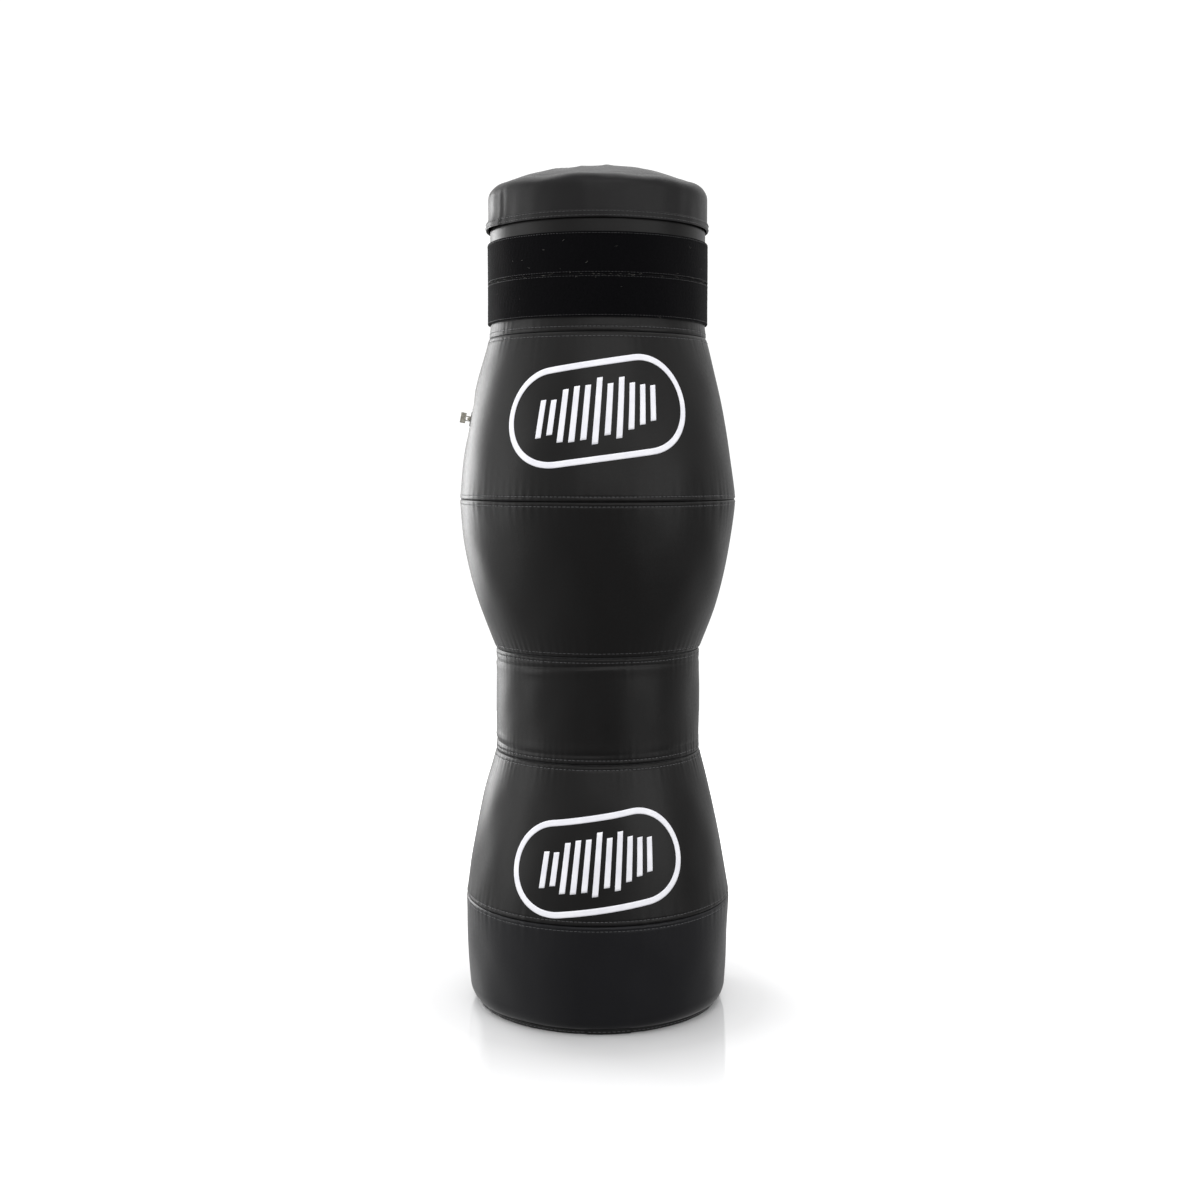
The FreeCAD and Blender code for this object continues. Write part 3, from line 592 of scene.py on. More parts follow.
def make_foot_binding():
    """Binding tape round the foot, whose end laps over its start at the front."""
    loop = band_loop(0.5 * MM, 6.0 * MM, FOOT_RADIUS - 1.6 * MM, FOOT_RADIUS + 0.8 * MM, 0.9 * MM)
    uneven = unevenness(0.25 * MM, 51, 8, (5, 40))
    stands_for(ring("foot_binding", loop, BINDING, uneven=uneven), "binding", "bottom_binding")
    lap = band_loop(0.4 * MM, 7.2 * MM, FOOT_RADIUS - 0.2 * MM, FOOT_RADIUS + 2.0 * MM, 0.8 * MM)
    middle, half = FRONT + 0.09, 0.17
    ring("foot_binding_lap", lap, BINDING, "bag", middle - half, 2 * half)
    place = around(FOOT_RADIUS + 0.85 * MM, 3.2 * MM, uneven)
    stitch_ring("foot_binding_stitches", place, THREAD, "bag", middle + half + 0.02, TURN - 2 * half - 0.04)
    place = around(FOOT_RADIUS + 2.05 * MM, 3.6 * MM)
    stitch_ring("foot_lap_stitches", place, THREAD, "bag", middle - half, 2 * half)


def make_foot_disc():
    """The foot's sole: cloth, flat on the floor, its rim eased up."""
    middle, outer, eased = 0.5 * MM, FOOT_RADIUS - 1.8 * MM, 0.8 * MM
    radii = np.concatenate([np.linspace(8 * MM, outer - 3 * MM, 24), [outer, outer]])
    under = np.zeros(len(radii))
    under[-1] = eased
    radius = np.concatenate([[middle], radii, radii[::-1], [middle]])
    level = np.concatenate([[0.0], under, np.full(len(radii) + 1, SKIN)])
    sole = ring("foot_sole", np.stack([radius, level], axis=-1), FOOT, steps=180)
    stands_for(sole, "foot", "bottom_panel")


# ---- layers inside the shell
FOAM_OUTSIDE, FOAM_INSIDE, FOAM_GAP = 3.5 * MM, 13.2 * MM, 0.3 * MM


def layer(levels, depth_out, depth_in):
    """The closed section of a layer between two depths under the shell's face."""
    outer = np.stack([plain_radius(levels) - depth_out, levels], axis=-1)
    inner = np.stack([plain_radius(levels) - depth_in, levels], axis=-1)[::-1]
    return np.concatenate([outer, inner])


def wall(name, node, low, high, depth_out, depth_in, material, slot):
    """A plain layer that follows the inside of the shell, with a slightly uneven face."""
    levels = np.linspace(low, high, max(4, int((high - low) / (6 * MM))))
    uneven = unevenness(0.06 * MM, 71, 9, (4, 30), 90)
    obj = ring(name, layer(levels, depth_out, depth_in), material, uneven=uneven, steps=144)
    return stands_for(obj, slot, node)


def foam_wrap(tube, low, high, depth_out):
    pad = wall(f"{tube}_foam", f"{tube}_foam_wrap", low, high, depth_out, FOAM_INSIDE, FOAM, "foam")


def make_inside():
    half = 12.5 * MM
    for name, (_, level) in zip(("hip", "waist_low", "waist_high", "chest", "neck"), SEAMS):
        wall(f"{name}_webbing", f"{name}_seam_tape", level - half, level + half, 1.95 * MM, 3.0 * MM,
             WEBBING, "webbing")
    for name, (low, high, _) in TUBES.items():
        bottom = 24.4 * MM if name == "base" else low[1] + FOAM_GAP
        outer = 7.1 * MM if name == "chest_upper" else FOAM_OUTSIDE
        foam_wrap(name, bottom, high[1] - FOAM_GAP, outer)
    foam_wrap("neck", NECK[1] + FOAM_GAP, 1037.5 * MM, FOAM_OUTSIDE)
    make_foot_foam()


def make_foot_foam():
    """The foam disc in the foot, with bevelled rims."""
    across = np.array([0.3, 60, 120, 153, 155]) * MM
    lower = np.array([2.1, 2.1, 2.1, 2.1, 3.5]) * MM
    upper = np.array([22.3, 23.7, 23.7, 23.7, 23.7]) * MM
    section = np.stack([np.concatenate([across, across[::-1]]), np.concatenate([lower, upper])], axis=-1)
    disc = ring("foot_foam", section, FOAM, steps=120)
    stands_for(disc, "foam", "foot_foam_disc")


FILL_TOP = 1038 * MM
GATHER_RADIUS = 11.5 * MM
GATHER_FOOT = 8.7 * MM


def column(depth, top):
    """The stuffed column's side, `depth` under the shell, from the foot foam up."""
    levels = np.concatenate([[25 * MM], np.arange(32 * MM, 1.0, 9 * MM), np.linspace(1.004, top, 6)])
    radius = plain_radius(levels) - depth
    radius[-1] -= 2 * MM
    return np.stack([radius, levels], axis=-1)


def pleat(angle, radius):
    """Radial pleats of the gathered cloth, deepest half way in."""
    share = np.clip(radius / (118 * MM), 0, 1)
    depth = 2.6 * MM * share * (1 - smooth(share, 0.7, 1.0)) + 0.5 * MM
    return depth * (np.cos(26 * angle + 2 * np.sin(3 * angle)) + 0.4 * np.cos(41 * angle + 1))


def make_inner_bag():
    """The inner bag: a full column whose top is gathered in pleats to a tied tuft."""
    side = column(13.8 * MM, FILL_TOP)
    crown_radius = np.linspace(side[-1, 0] - 2 * MM, GATHER_RADIUS + 2 * MM, 34)
    crown_level = FILL_TOP + GATHER_FOOT * (1 - (crown_radius - GATHER_RADIUS) / crown_radius[0]) ** 1.6
    tuft_level = FILL_TOP + np.array([9.5, 12, 14.5, 17, 20, 23, 25.5]) * MM
    tuft_radius = np.array([10.5, 9.6, 9.8, 11, 12.2, 12.6, 12.2]) * MM
    radius = np.concatenate([[0.4 * MM], side[:, 0], crown_radius, tuft_radius, [6 * MM, 0.4 * MM]])
    level = np.concatenate([[25 * MM], side[:, 1], crown_level, tuft_level, [1061.5 * MM, 1060 * MM]])
    angles = np.arange(360) * TURN / 360
    grid_level = np.repeat(level[:, None], 360, axis=1)
    grid_radius = np.repeat(radius[:, None], 360, axis=1)
    first, last = 1 + len(side), 1 + len(side) + len(crown_radius)
    grid_level[first:last] += pleat(angles, crown_radius[:, None])
    tuft = slice(last, last + len(tuft_radius))
    frill = np.linspace(0.15, 1.0, len(tuft_radius))[:, None] * 1.7 * MM
    grid_radius[tuft] += frill * np.cos(17 * angles + 1.3 * np.sin(5 * angles))
    bag = loft("inner_bag_cloth", from_polar(grid_radius, angles, grid_level), LINER, wrap_rows=True)
    stands_for(bag, "liner", "inner_bag")
    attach(bag, "bag")


def make_fill():
    """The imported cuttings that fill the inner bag."""
    side = column(15.2 * MM, FILL_TOP - 3 * MM)
    loop = np.concatenate([[(0.3 * MM, 27 * MM)], side, [(0.3 * MM, FILL_TOP - 2.4 * MM)]])
    loop[:, 0] -= 0.6 * MM
    uneven = unevenness(0.4 * MM, 81, 20, (5, 30), 200)
    fill = ring("packed_cuttings", loop, FILL, uneven=uneven, steps=144)
    stands_for(fill, "fill", "textile_fill")


def tube_along(name, path, radius, material, body, sides=8):
    """A round cord along a path of points."""
    path = np.asarray(path, float)
    ahead = np.gradient(path, axis=0)
    ahead /= np.linalg.norm(ahead, axis=1, keepdims=True)
    up = np.array([0.05, 0.03, 1.0])
    side = np.cross(ahead, up)
    side /= np.linalg.norm(side, axis=1, keepdims=True)
    other = np.cross(side, ahead)
    turn = np.arange(sides) * TURN / sides
    rings = path[:, None, :] + radius * (side[:, None, :] * np.cos(turn)[:, None]
                                         + other[:, None, :] * np.sin(turn)[:, None])
    cord = new_object(name, rings.reshape(-1, 3), rod_faces(len(path), sides), material)
    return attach(cord, body)


def make_bag_tie():
    """Three turns of cord round the tuft."""
    turn = np.linspace(0, 3 * TURN, 160)
    height = FILL_TOP + 11.2 * MM + 3.3 * MM * turn / (3 * TURN)
    coil = from_polar(12.2 * MM, turn, height)
    cord = tube_along("bag_tie_cord", coil, 1.1 * MM, TIE, "bag")
    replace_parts(cord, "inner_bag_tie")


def make_rim_binding():
    radius, level = RIM
    inner, outer = radius - SKIN - 0.7 * MM, radius + 0.6 * MM
    loop = band_loop(level - 5 * MM, level + 1.5 * MM, inner, outer, 1.1 * MM)
    uneven = unevenness(0.2 * MM, 55, 9, (5, 40))
    stands_for(ring("neck_rim_binding", loop, BINDING, uneven=uneven), "binding", "rim_binding")
    stitch_ring("neck_rim_stitches", around(radius + 0.65 * MM, level - 2.6 * MM, uneven), THREAD, "bag")


# ---- neck strap
STRAP_LOW, STRAP_ROW, STRAP_ROW_GAP = 884.8 * MM, 50.5 * MM, 0.6 * MM
STRAP_HIGH = STRAP_LOW + 2 * STRAP_ROW + STRAP_ROW_GAP
PILE_IN, PILE_OUT = 139.9 * MM, 141.6 * MM
FLAP_START, FLAP_SWEEP = math.radians(68), math.radians(60)
FLAP_IN, FLAP_OUT = 143.2 * MM, 144.5 * MM


def strap_wave(angle, level):
    return 0.22 * MM * ripple(angle, level, 61, 10, (3, 18), 60)


def strap_fuzz(angle, level):
    """The strap's slow wave with the fine roughness of its pile."""
    return strap_wave(angle, level) + 0.1 * MM * ripple(angle, level, 62, 24, (60, 200), 3000)


def make_strap():
    web = band_loop(STRAP_LOW - 0.1 * MM, STRAP_HIGH + 0.1 * MM, 138.65 * MM, 139.65 * MM)
    stands_for(ring("strap_backing", web, WEBBING, "bag"), "webbing", "strap_webbing")
    for row, low in (("lower", STRAP_LOW), ("upper", STRAP_LOW + STRAP_ROW + STRAP_ROW_GAP)):
        loop = band_loop(low, low + STRAP_ROW, PILE_IN, PILE_OUT, 0.8 * MM, 30)
        tape = ring(f"strap_pile_{row}_row", loop, PILE, uneven=strap_fuzz, steps=864)
        stands_for(tape, "loop_pile", f"strap_pile_{row}")
        for edge, level in (("low", low + 2.2 * MM), ("high", low + STRAP_ROW - 2.2 * MM)):
            place = around(PILE_OUT - 0.1 * MM, level, strap_wave)
            stitch_ring(f"strap_{row}_{edge}_stitches", place, DARK_THREAD, pitch=4.2 * MM,
                        length=3.4 * MM, width=0.5 * MM, height=0.35 * MM)
    make_fluff()
    make_flap()


def make_fluff():
    """Loose fibres that have pulled out of the pile, most of them at the line between the two rows."""
    rng = np.random.default_rng(8)
    middle = STRAP_LOW + STRAP_ROW + STRAP_ROW_GAP / 2
    parts, faces = [], []
    for number in range(150):
        at_line = number % 3 != 0
        level = middle + rng.normal(0, 0.7 * MM) if at_line else rng.uniform(STRAP_LOW, STRAP_HIGH)
        angle = rng.uniform(0, TURN)
        length = rng.uniform(1.2, 4.2) * MM
        bend, lean = rng.uniform(-1, 1), rng.uniform(-0.6, 0.6)
        part = np.linspace(0, 1, 6)
        out = PILE_OUT - 0.2 * MM + 1.1 * MM * np.sin(part * math.pi) * rng.uniform(0.4, 1.1)
        rise = length * (lean * part + 0.5 * bend * part ** 2)
        path = from_polar(out, angle + length * part / PILE_OUT, level + rise)
        for turn in range(3):
            offset = 0.06 * MM * np.array([0, math.cos(turn * TURN / 3), math.sin(turn * TURN / 3)])
            parts.append(path + offset)
        base = number * 18
        for step in range(5):
            for side in range(3):
                first, second = base + side * 6 + step, base + (side + 1) % 3 * 6 + step
                faces.append((first, second, second + 1, first + 1))
    fluff = new_object("strap_fluff", np.concatenate(parts), faces, TIE)
    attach(fluff, "bag")


def make_flap():
    """The strap's free end, lapped over the pile at the back and sewn at its root."""
    loop = band_loop(STRAP_LOW, STRAP_HIGH, FLAP_IN, FLAP_OUT, 0.6 * MM, 20)
    flap = ring("strap_end", loop, WEBBING, "strap_flap", FLAP_START, FLAP_SWEEP)
    stands_for(flap, "webbing", "flap_webbing")
    edge = band_loop(STRAP_LOW, STRAP_HIGH, FLAP_IN - 0.1 * MM, FLAP_OUT + 0.9 * MM, 0.8 * MM)
    ring("strap_end_fold", edge, WEBBING, "strap_flap", FLAP_START, 0.1)
    inset = 4 * MM
    for row, level in (("low", STRAP_LOW + inset), ("high", STRAP_HIGH - inset)):
        stitch_ring(f"strap_end_{row}_stitches", around(FLAP_OUT, level), THREAD, "strap_flap",
                    FLAP_START, FLAP_SWEEP)
    root = FLAP_START + FLAP_SWEEP
    heights = np.arange(STRAP_LOW + inset, STRAP_HIGH - inset, 5.4 * MM)
    for number, angle in enumerate((root - 0.03, root - 0.09, FLAP_START + 0.07)):
        lift = FLAP_OUT + (0.95 * MM if number == 2 else 0.05 * MM)
        centres = from_polar(lift, angle, heights)
        out = from_polar(1.0, angle, 0 * heights)
        up = np.tile([0.0, 0.0, 1.0], (len(heights), 1))
        stitches(f"strap_end_seam_{number}", centres, up, out, THREAD, "strap_flap")


# ---- zip
def make_zip():
    start, end = ZIP_START, ZIP_START + ZIP_SWEEP
    inset = 0.2 / 180
    for side, name in ((1, "upper"), (-1, "lower")):
        up = side * np.array([4.15, 9.5, 15.0, 15.0, 9.5, 4.15]) * MM
        out = -ZIP_DEPTH + np.array([0.38, 0.38, 0.3, -0.3, -0.38, -0.38]) * MM
        angles = start + np.linspace(inset, ZIP_SWEEP - inset, 260)
        grid = on_cone(angles, up[:, None], out[:, None])
        tape = loft(f"zip_{name}_tape", grid, ZIP_CLOTH, True, False, True)
        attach(stands_for(tape, "zip_tape", f"zip_tape_{name}"), "bag")
        make_teeth(name, side)
        make_window_edge(name, side)
    for name in ("zip_stop_open_end", "zip_stop_closed_end", "zip_slider_body", "zip_pull"):
        finish_cad(name, NICKEL)
    for number, angle in enumerate((start, end)):
        up = np.linspace(-ZIP_HALF_WINDOW, ZIP_HALF_WINDOW, 24)
        path = on_cone(angle, up, -0.2 * MM)
        tube_along(f"zip_window_end_{number}", path, 1.1 * MM, BINDING, "bag")


def make_teeth(name, side):
    """One row of moulded teeth, each a block with a rounded head, staggered against the other row."""
    pitch = 2.1 * MM
    first = ZIP_START + math.radians(1.9)
    sweep = ZIP_SWEEP - math.radians(3.8)
    count = int(sweep * ZIP_RADIUS / pitch)
    angles = first + (np.arange(count) + (0.25 if side > 0 else 0.75)) * sweep / count
    along = np.array([-0.42, 0.42, 0.42, -0.42, -0.55, 0.55, 0.55, -0.55, -0.3, 0.3, 0.3, -0.3]) * MM
    up = side * np.array([4.0] * 4 + [1.7] * 4 + [0.35] * 4) * MM
    out = -ZIP_DEPTH + np.array([-1.2, -1.2, 1.2, 1.2] * 2 + [-0.9, -0.9, 0.9, 0.9]) * MM
    points = on_cone(angles[:, None] + along / ZIP_RADIUS, up, out)
    teeth = new_object(f"zip_{name}_row", points.reshape(-1, 3), rod_faces(3, 4, count), TEETH, False)
    bevel = teeth.modifiers.new("edges", "BEVEL")
    bevel.width = 0.14 * MM
    bevel.segments = 2
    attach(stands_for(teeth, "zip_teeth", f"zip_teeth_{name}"), "bag")


def make_window_edge(name, side):
    """The window's turned hem: a rolled edge and a row of stitches beside it."""
    angles = np.linspace(ZIP_START, ZIP_START + ZIP_SWEEP, 300)
    path = on_cone(angles, side * ZIP_HALF_WINDOW, -0.25 * MM)
    tube_along(f"zip_{name}_hem", path, 1.05 * MM, SHELL, "bag")
    place = along_shell(ZIP_LEVEL + side * (ZIP_HALF_WINDOW + 4.5 * MM) * math.cos(ZIP_LEAN))
    stitch_ring(f"zip_{name}_stitches", place, THREAD, "bag", ZIP_START, ZIP_SWEEP, radius=ZIP_RADIUS)


def finish_cad(name, material):
    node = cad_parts[name]
    node.data.materials.clear()
    node.data.materials.append(material)


def lid_wave(angle, level):
    """The loose skirt: soft waves, a lapped join at the front left and a flared hem beside it."""
    height = (level - HEM_LEVEL) / (LID_EDGE - HEM_LEVEL)
    fade = 1 - smooth(height, 0.75, 1.3)
    loose = smooth(height, -0.3, 0.35) * fade
    wave = 0.55 * MM * ripple(angle, level, 91, 8, (3, 11), 25) * loose
    wave = wave + 0.2 * MM * ripple(angle, level, 92, 10, (12, 40), 60)
    lap = math.radians(212)
    off = wrapped(angle - lap)
    wave = wave + 0.9 * MM * fade * smooth(-off, -0.02, 0.02) * (1 - smooth(-off, 0.0, 0.55))
    wave = wave - 0.5 * MM * fade * bump(off - 0.03, 0.03)
    flare = bump(wrapped(angle - math.radians(197)), 0.3)
    return wave + 2.6 * MM * flare * (1 - smooth(height, 0.0, 0.5))


def lid_dome(radius):
    """Height of the smooth lid top over its edge, at each radius."""
    shoulder_radius = LID_OUT - LID_SHOULDER
    share = np.clip((radius - shoulder_radius) / LID_SHOULDER, 0, 1)
    edge = LID_SHOULDER * np.sqrt(np.clip(1 - share ** 2, 0, 1))
    return edge + LID_CROWN * (1 - np.clip(radius / shoulder_radius, 0, 1) ** LID_FULLNESS)


def lid_grid():
    """Rows of the lid's cloth from the hem up over the shoulder to the crown."""
    skirt = np.linspace(HEM_LEVEL, LID_EDGE, 16)
    bend = np.linspace(0, math.pi / 2, 9)[1:]
    shoulder_radius = LID_OUT - LID_SHOULDER
    radius = np.concatenate([np.full(16, LID_OUT), shoulder_radius + LID_SHOULDER * np.cos(bend)])
    inward = np.linspace(shoulder_radius, 3 * MM, 52)[1:]
    radius = np.concatenate([radius, inward])
    level = np.concatenate([skirt, LID_EDGE + lid_dome(radius[16:])])
    return radius, level


def crumple(cloth, pinned):
    """Lets the slack lid cloth settle on the stuffing in a cloth simulation, and returns its points."""
    scene = bpy.context.scene
    turns = np.arange(64) * TURN / 64
    radii = np.linspace(LID_OUT - 3 * MM, 4 * MM, 40)
    lumps = 1.3 * MM * ripple(turns, radii[:, None], 99, 7, (1, 4), 60)
    levels = LID_EDGE - 2.6 * MM + lid_dome(radii)[:, None] + lumps
    stuffing = loft("stuffing", from_polar(radii[:, None], turns, levels), LINER)
    stuffing.modifiers.new("collide", "COLLISION")
    stuffing.collision.thickness_outer = 1 * MM
    group = cloth.vertex_groups.new(name="held")
    group.add([int(i) for i in pinned], 1.0, "REPLACE")
    sim = cloth.modifiers.new("settle", "CLOTH")
    sim.settings.quality = 6
    sim.settings.mass = 0.35
    sim.settings.tension_stiffness = 18
    sim.settings.compression_stiffness = 18
    sim.settings.bending_stiffness = 1.4
    sim.settings.vertex_group_mass = "held"
    sim.settings.shrink_min = -0.075
    sim.settings.use_pressure = True
    sim.settings.uniform_pressure_force = 0.6
    sim.collision_settings.distance_min = 1 * MM
    for frame_number in range(1, 23):
        scene.frame_set(frame_number)
    settled = cloth.evaluated_get(bpy.context.evaluated_depsgraph_get())
    points = np.array([v.co for v in settled.data.vertices])
    cloth.modifiers.clear()
    cloth.vertex_groups.clear()
    scene.frame_set(1)
    bpy.data.objects.remove(stuffing)
    return points


def folds(angle, radius):
    """The starting slack of the lid's top: shallow ripples and a few sharp folds."""
    lift = 0.8 * MM * ripple(angle, radius, 95, 14, (2, 16), 160)
    for turn, width, height, reach in ((-128, 0.10, 3.0, 60), (-104, 0.07, 2.2, 80), (-82, 0.09, 3.2, 66),
                                       (-58, 0.12, 2.4, 88), (30, 0.12, 2.0, 70), (120, 0.10, 2.4, 80),
                                       (178, 0.12, 2.2, 74)):
        off = wrapped(angle - math.radians(turn))
        ridge = np.exp(-np.abs(off) / width) * bump(radius - reach * MM, 34 * MM)
        lift = lift + 1.3 * height * MM * ridge
    return lift


def calm_crown(points, start, radius):
    """Levels the few small rings at the middle of the top, where the simulated cloth nips."""
    calm = smooth(-radius, -20 * MM, -11 * MM)[:, None]
    middle = points[radius < 20 * MM, :, 2].mean()
    points[..., 2] += calm * (middle - points[..., 2])
    points[..., :2] += calm[..., None] * (start[..., :2] - points[..., :2])
    return points


def make_lid_cover():
    radius, level = lid_grid()
    cols = 288
    angles = np.arange(cols) * TURN / cols
    slack = smooth(level, LID_EDGE, LID_EDGE + 10 * MM) * (1 - smooth(-radius, -14 * MM, -4 * MM))
    slack = slack[:, None]
    grid_radius = radius[:, None] + lid_wave(angles, level[:, None]) * (1 - slack)
    grid_level = level[:, None] + slack * folds(angles, radius[:, None])
    start = from_polar(grid_radius, angles, grid_level)
    cover = loft("lid_cover", start, LID)
    rows = len(radius)
    pinned = np.arange(17 * cols)
    moved = crumple(cover, pinned) - start.reshape(-1, 3)
    reach = np.linalg.norm(moved, axis=1, keepdims=True)
    limit = 13 * MM
    moved = moved * np.minimum(1, limit / np.maximum(reach, 1e-9))
    free = LID_SETTLING * smooth(LID_OUT - radius, 6 * MM, 42 * MM)
    moved = moved * np.repeat(free, cols)[:, None]
    points = calm_crown(start + moved.reshape(start.shape), start, radius)
    cover.data.vertices.foreach_set("co", points.ravel())
    cover.data.update()
    close_crown(cover, rows, cols)
    cover.data.materials.append(BACKING)
    solidify(cover, 1.3 * MM).material_offset = 1
    finer = cover.modifiers.new("finer", "SUBSURF")
    finer.levels = finer.render_levels = 1
    stands_for(cover, "lid", "lid_skirt", "lid_top")
    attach(cover, "lid")


def close_crown(cover, rows, cols):
    """Fills the small hole at the crown with a fan."""
    mesh = bmesh.new()
    mesh.from_mesh(cover.data)
    mesh.verts.ensure_lookup_table()
    last = [mesh.verts[(rows - 1) * cols + i] for i in range(cols)]
    middle = mesh.verts.new(sum((v.co for v in last), last[0].co * 0) / cols)
    for i in range(cols):
        mesh.faces.new((last[i], last[(i + 1) % cols], middle))
    for face in mesh.faces:
        face.smooth = True
    mesh.to_mesh(cover.data)
    mesh.free()


def make_lid():
    make_lid_cover()
    hem = band_loop(HEM_LEVEL - 0.6 * MM, HEM_LEVEL + HEM_HEIGHT,
                    LID_OUT + 0.1 * MM, LID_OUT + 1.4 * MM, 0.6 * MM, 8)
    stands_for(ring("lid_hem_binding", hem, LID, "lid", uneven=lid_wave), "lid", "lid_hem")
    for name, level in (("top", HEM_LEVEL + HEM_HEIGHT - 2 * MM), ("edge", HEM_LEVEL + 1.6 * MM)):
        place = around(LID_OUT + 1.45 * MM, level, lid_wave)
        stitch_ring(f"lid_hem_{name}_stitches", place, DARK_THREAD, "lid")
    for side in ("left", "right"):
        finish_cad(f"lid_hook_tape_{side}", HOOKS)
    finish_cad("flap_hook_tape", HOOKS)
    make_neck_grips()
    make_lid_tab()


def make_neck_grips():
    """Pile tapes on the neck, under the lid's hook tapes."""
    for side, middle in (("right", 0.0), ("left", math.pi)):
        loop = layer(np.linspace(1012.2 * MM, 1035.8 * MM, 10), -1.3 * MM, -0.2 * MM)
        half = math.radians(34.8)
        tape = ring(f"neck_grip_{side}", loop, PILE, "bag", middle - half, 2 * half)
        stands_for(tape, "loop_pile", f"neck_pile_tape_{side}")


def make_lid_tab():
    """The lid's sewn hinge: a strip of webbing from the neck up over the hem, bent at the hinge line."""
    half = math.radians(25)
    angles = np.linspace(BACK - half, BACK + half, 60)
    level = np.linspace(989.5 * MM, 1028.0 * MM, 34)
    rise = smooth(level, 997 * MM, 1003.0 * MM)
    outer = 139.75 * MM + (143.9 * MM - 139.75 * MM) * rise
    front = from_polar(outer[:, None], angles, level[:, None])
    rear = from_polar(outer[::-1, None] - 1.1 * MM, angles, level[::-1, None])
    tab = loft("lid_tab_strip", np.concatenate([front, rear]), WEBBING, True, False, True)
    stands_for(tab, "webbing", "lid_tab_upper", "lid_tab_lower")
    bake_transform(tab)
    start, sweep = BACK - half + 0.02, 2 * half - 0.04
    for name, body, radius, height in (("neck", "bag", 139.8, 993), ("low", "lid", 143.95, 1014),
                                       ("high", "lid", 143.95, 1024)):
        place = around(radius * MM, height * MM)
        stitch_ring(f"lid_tab_{name}_stitches", place, THREAD, body, start, sweep)


# ---- printed marks
def print_on(ink):
    solidify(ink, 0.3 * MM)
    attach(ink, "bag")


def make_mark(name, level, tilt, width, height):
    """A generic printed mark: a rounded outline round a row of slanting bars, laid on the shell."""
    centre_radius = float(plain_radius(level))

    def lay(across, up):
        turned = across * math.cos(tilt) - up * math.sin(tilt)
        raised = across * math.sin(tilt) + up * math.cos(tilt)
        points, _ = on_shell(FRONT + turned / centre_radius, level + raised, 0.22 * MM)
        return points

    end_radius, stroke = height / 2, 7.5 * MM
    straight = width / 2 - end_radius
    turn = np.linspace(-math.pi / 2, math.pi / 2, 40)
    line = np.linspace(-1, 1, 60)[1:-1]
    flat = np.zeros(len(line))
    normal_x = np.concatenate([np.cos(turn), flat, -np.cos(turn), flat])
    normal_y = np.concatenate([np.sin(turn), flat + 1, -np.sin(turn), flat - 1])
    end = np.full(len(turn), straight)
    middle = np.concatenate([end, -line * straight, -end, line * straight])
    depth = end_radius - np.linspace(0, 1, 6)[:, None] * stroke
    outline = lay(middle + depth * normal_x, depth * normal_y)
    print_on(loft(f"{name}_outline", outline, INK))
    bars = 11
    for number in range(bars):
        place = (number - (bars - 1) / 2) / ((bars - 1) / 2)
        tall = height * (0.30 + 0.28 * (1 - place ** 2) + 0.07 * math.cos(2.6 * number))
        column_x, column_y = np.meshgrid(np.linspace(-1, 1, 7) * 3.6 * MM, np.linspace(-1, 1, 24) * tall / 2)
        bar = lay(place * (straight + 14 * MM) + column_x + 0.22 * column_y, column_y)
        print_on(loft(f"{name}_bar_{number}", bar, INK, wrap_cols=False))


# ---- studio
FLOOR_RADIUS = 2.4
WHITE = (1, 1, 1, 1)


def make_floor():
    edge = from_polar(FLOOR_RADIUS, np.arange(96) * TURN / 96, 0.0)
    floor = new_object("floor", edge, [tuple(range(96))], floor_painted_glow(), False)
    floor.location.z = -0.2 * MM
    floor.visible_diffuse = False
    floor.visible_glossy = False


def floor_painted_glow():
    # Painted light: the floor glows white, not at all within 0.22 m of the middle and up to strength 0.9 at
    # 0.8 m, so it reads white farther out without being lit.
    n = Nodes("floor_painted_glow", 0.07, Specular_IOR_Level=1.0, Emission_Color=WHITE)
    n.colour((0.72, 0.72, 0.725), (0.74, 0.74, 0.745), n.noise(3))
    away = n.add("ShaderNodeVectorMath", Vector=n.place)
    away.operation = "LENGTH"
    n.set(n.shader.inputs["Emission Strength"], n.spread(away.outputs["Value"], 0.22, 0.8, 0.0, 0.9))
    return n.material


def area_light(name, place, target, size, power):
    data = bpy.data.lights.new(name, "AREA")
    data.shape = "RECTANGLE"
    data.size, data.size_y = size
    data.energy = power
    lamp = bpy.data.objects.new(name, data)
    lamp.location = place
    aim = np.array(target) - np.array(place)
    lamp.rotation_mode = "QUATERNION"
    lamp.rotation_quaternion = Vector(aim).to_track_quat("-Z", "Y")
    bpy.context.scene.collection.objects.link(lamp)


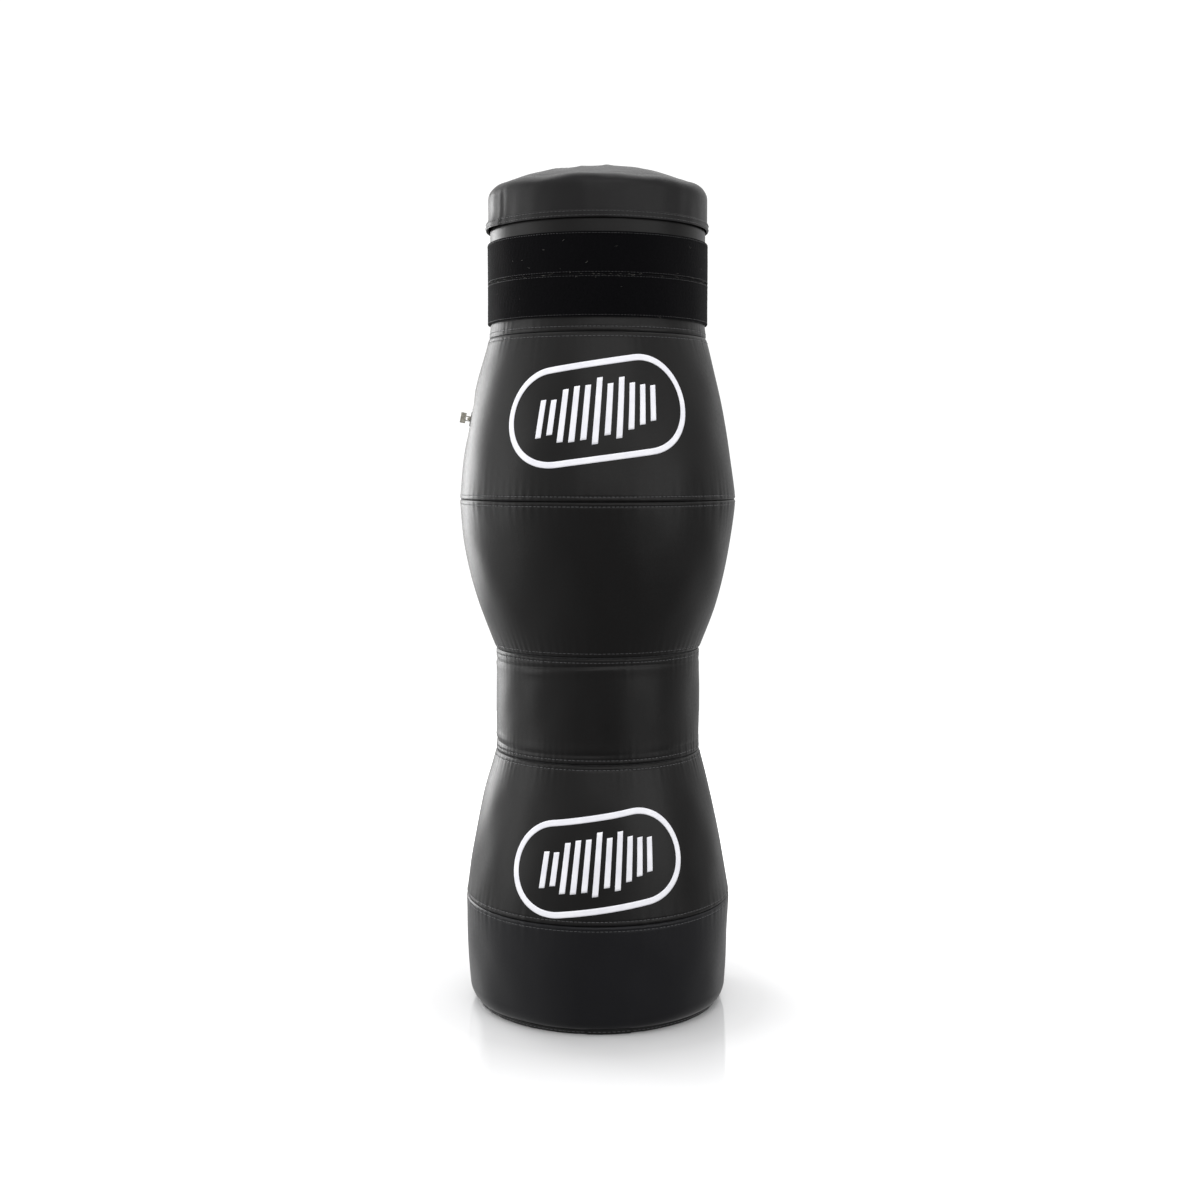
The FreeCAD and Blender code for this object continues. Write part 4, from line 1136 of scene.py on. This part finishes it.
def make_world():
    """White as a backdrop; as light, brighter behind, above and to the left of the object than in front."""
    world = bpy.data.worlds.new("studio")
    bpy.context.scene.world = world
    n = Tree(world)
    side = n.add("ShaderNodeSeparateXYZ", Vector=n.add("ShaderNodeTexCoord").outputs["Generated"]).outputs
    behind = n.spread(side["Y"], -0.15, 0.75, 0.36, 0.72, step="SMOOTHSTEP")
    above = n.spread(side["Z"], -0.05, 0.5, 0.0, 0.42, step="SMOOTHSTEP")
    left = n.spread(side["X"], -1.0, -0.1, 0.5, 0.0, step="SMOOTHSTEP")
    light = n.tree.nodes["Background"]
    light.inputs["Color"].default_value = WHITE
    n.set(light.inputs["Strength"], n.math("ADD", n.math("ADD", behind, above), left))
    backdrop = n.add("ShaderNodeBackground", Color=WHITE, Strength=1.1)
    mix = n.add("ShaderNodeMixShader", Fac=n.add("ShaderNodeLightPath").outputs["Is Camera Ray"])
    n.set(mix.inputs[1], light.outputs[0])
    n.set(mix.inputs[2], backdrop.outputs[0])
    n.set(n.tree.nodes["World Output"].inputs["Surface"], mix.outputs[0])


def make_camera():
    data = bpy.data.cameras.new("camera")
    data.lens = 47.1
    data.sensor_width = 36
    camera = bpy.data.objects.new("camera", data)
    camera.location = (0.003, -2.057, 0.711)
    camera.rotation_euler = (math.radians(90 - 5.06), 0, 0)
    bpy.context.scene.collection.objects.link(camera)
    bpy.context.scene.camera = camera


def make_studio():
    bpy.context.scene.view_settings.view_transform = "Standard"
    make_floor()
    make_world()
    make_camera()
    area_light("overhead", (0, 0.6, 3.4), (0, 0.1, 0), (4, 3), 70)
    area_light("front_key", (0.5, -2.9, 2.3), (0, 0, 0.7), (3, 2), 26)
    area_light("right_box", (1.9, -1.48, 0.78), (0, 0, 0.6), (1.7, 1.5), 14.5)
    area_light("left_box", (-2.3, -0.4, 0.78), (0, 0, 0.6), (0.9, 1.5), 11.5)
    area_light("left_rim_box", (-1.7, 1.7, 0.82), (0, 0, 0.6), (1.1, 1.6), 33)


make_shell()
make_seam_stitches()
make_closing_seams()
make_foot_binding()
make_foot_disc()
make_inside()
make_inner_bag()
make_bag_tie()
make_fill()
make_rim_binding()
make_strap()
make_zip()
make_lid()
make_mark("chest_mark", 771 * MM, math.radians(8), 236 * MM, 122 * MM)
make_mark("hip_mark", 216 * MM, math.radians(8), 226 * MM, 118 * MM)
make_studio()
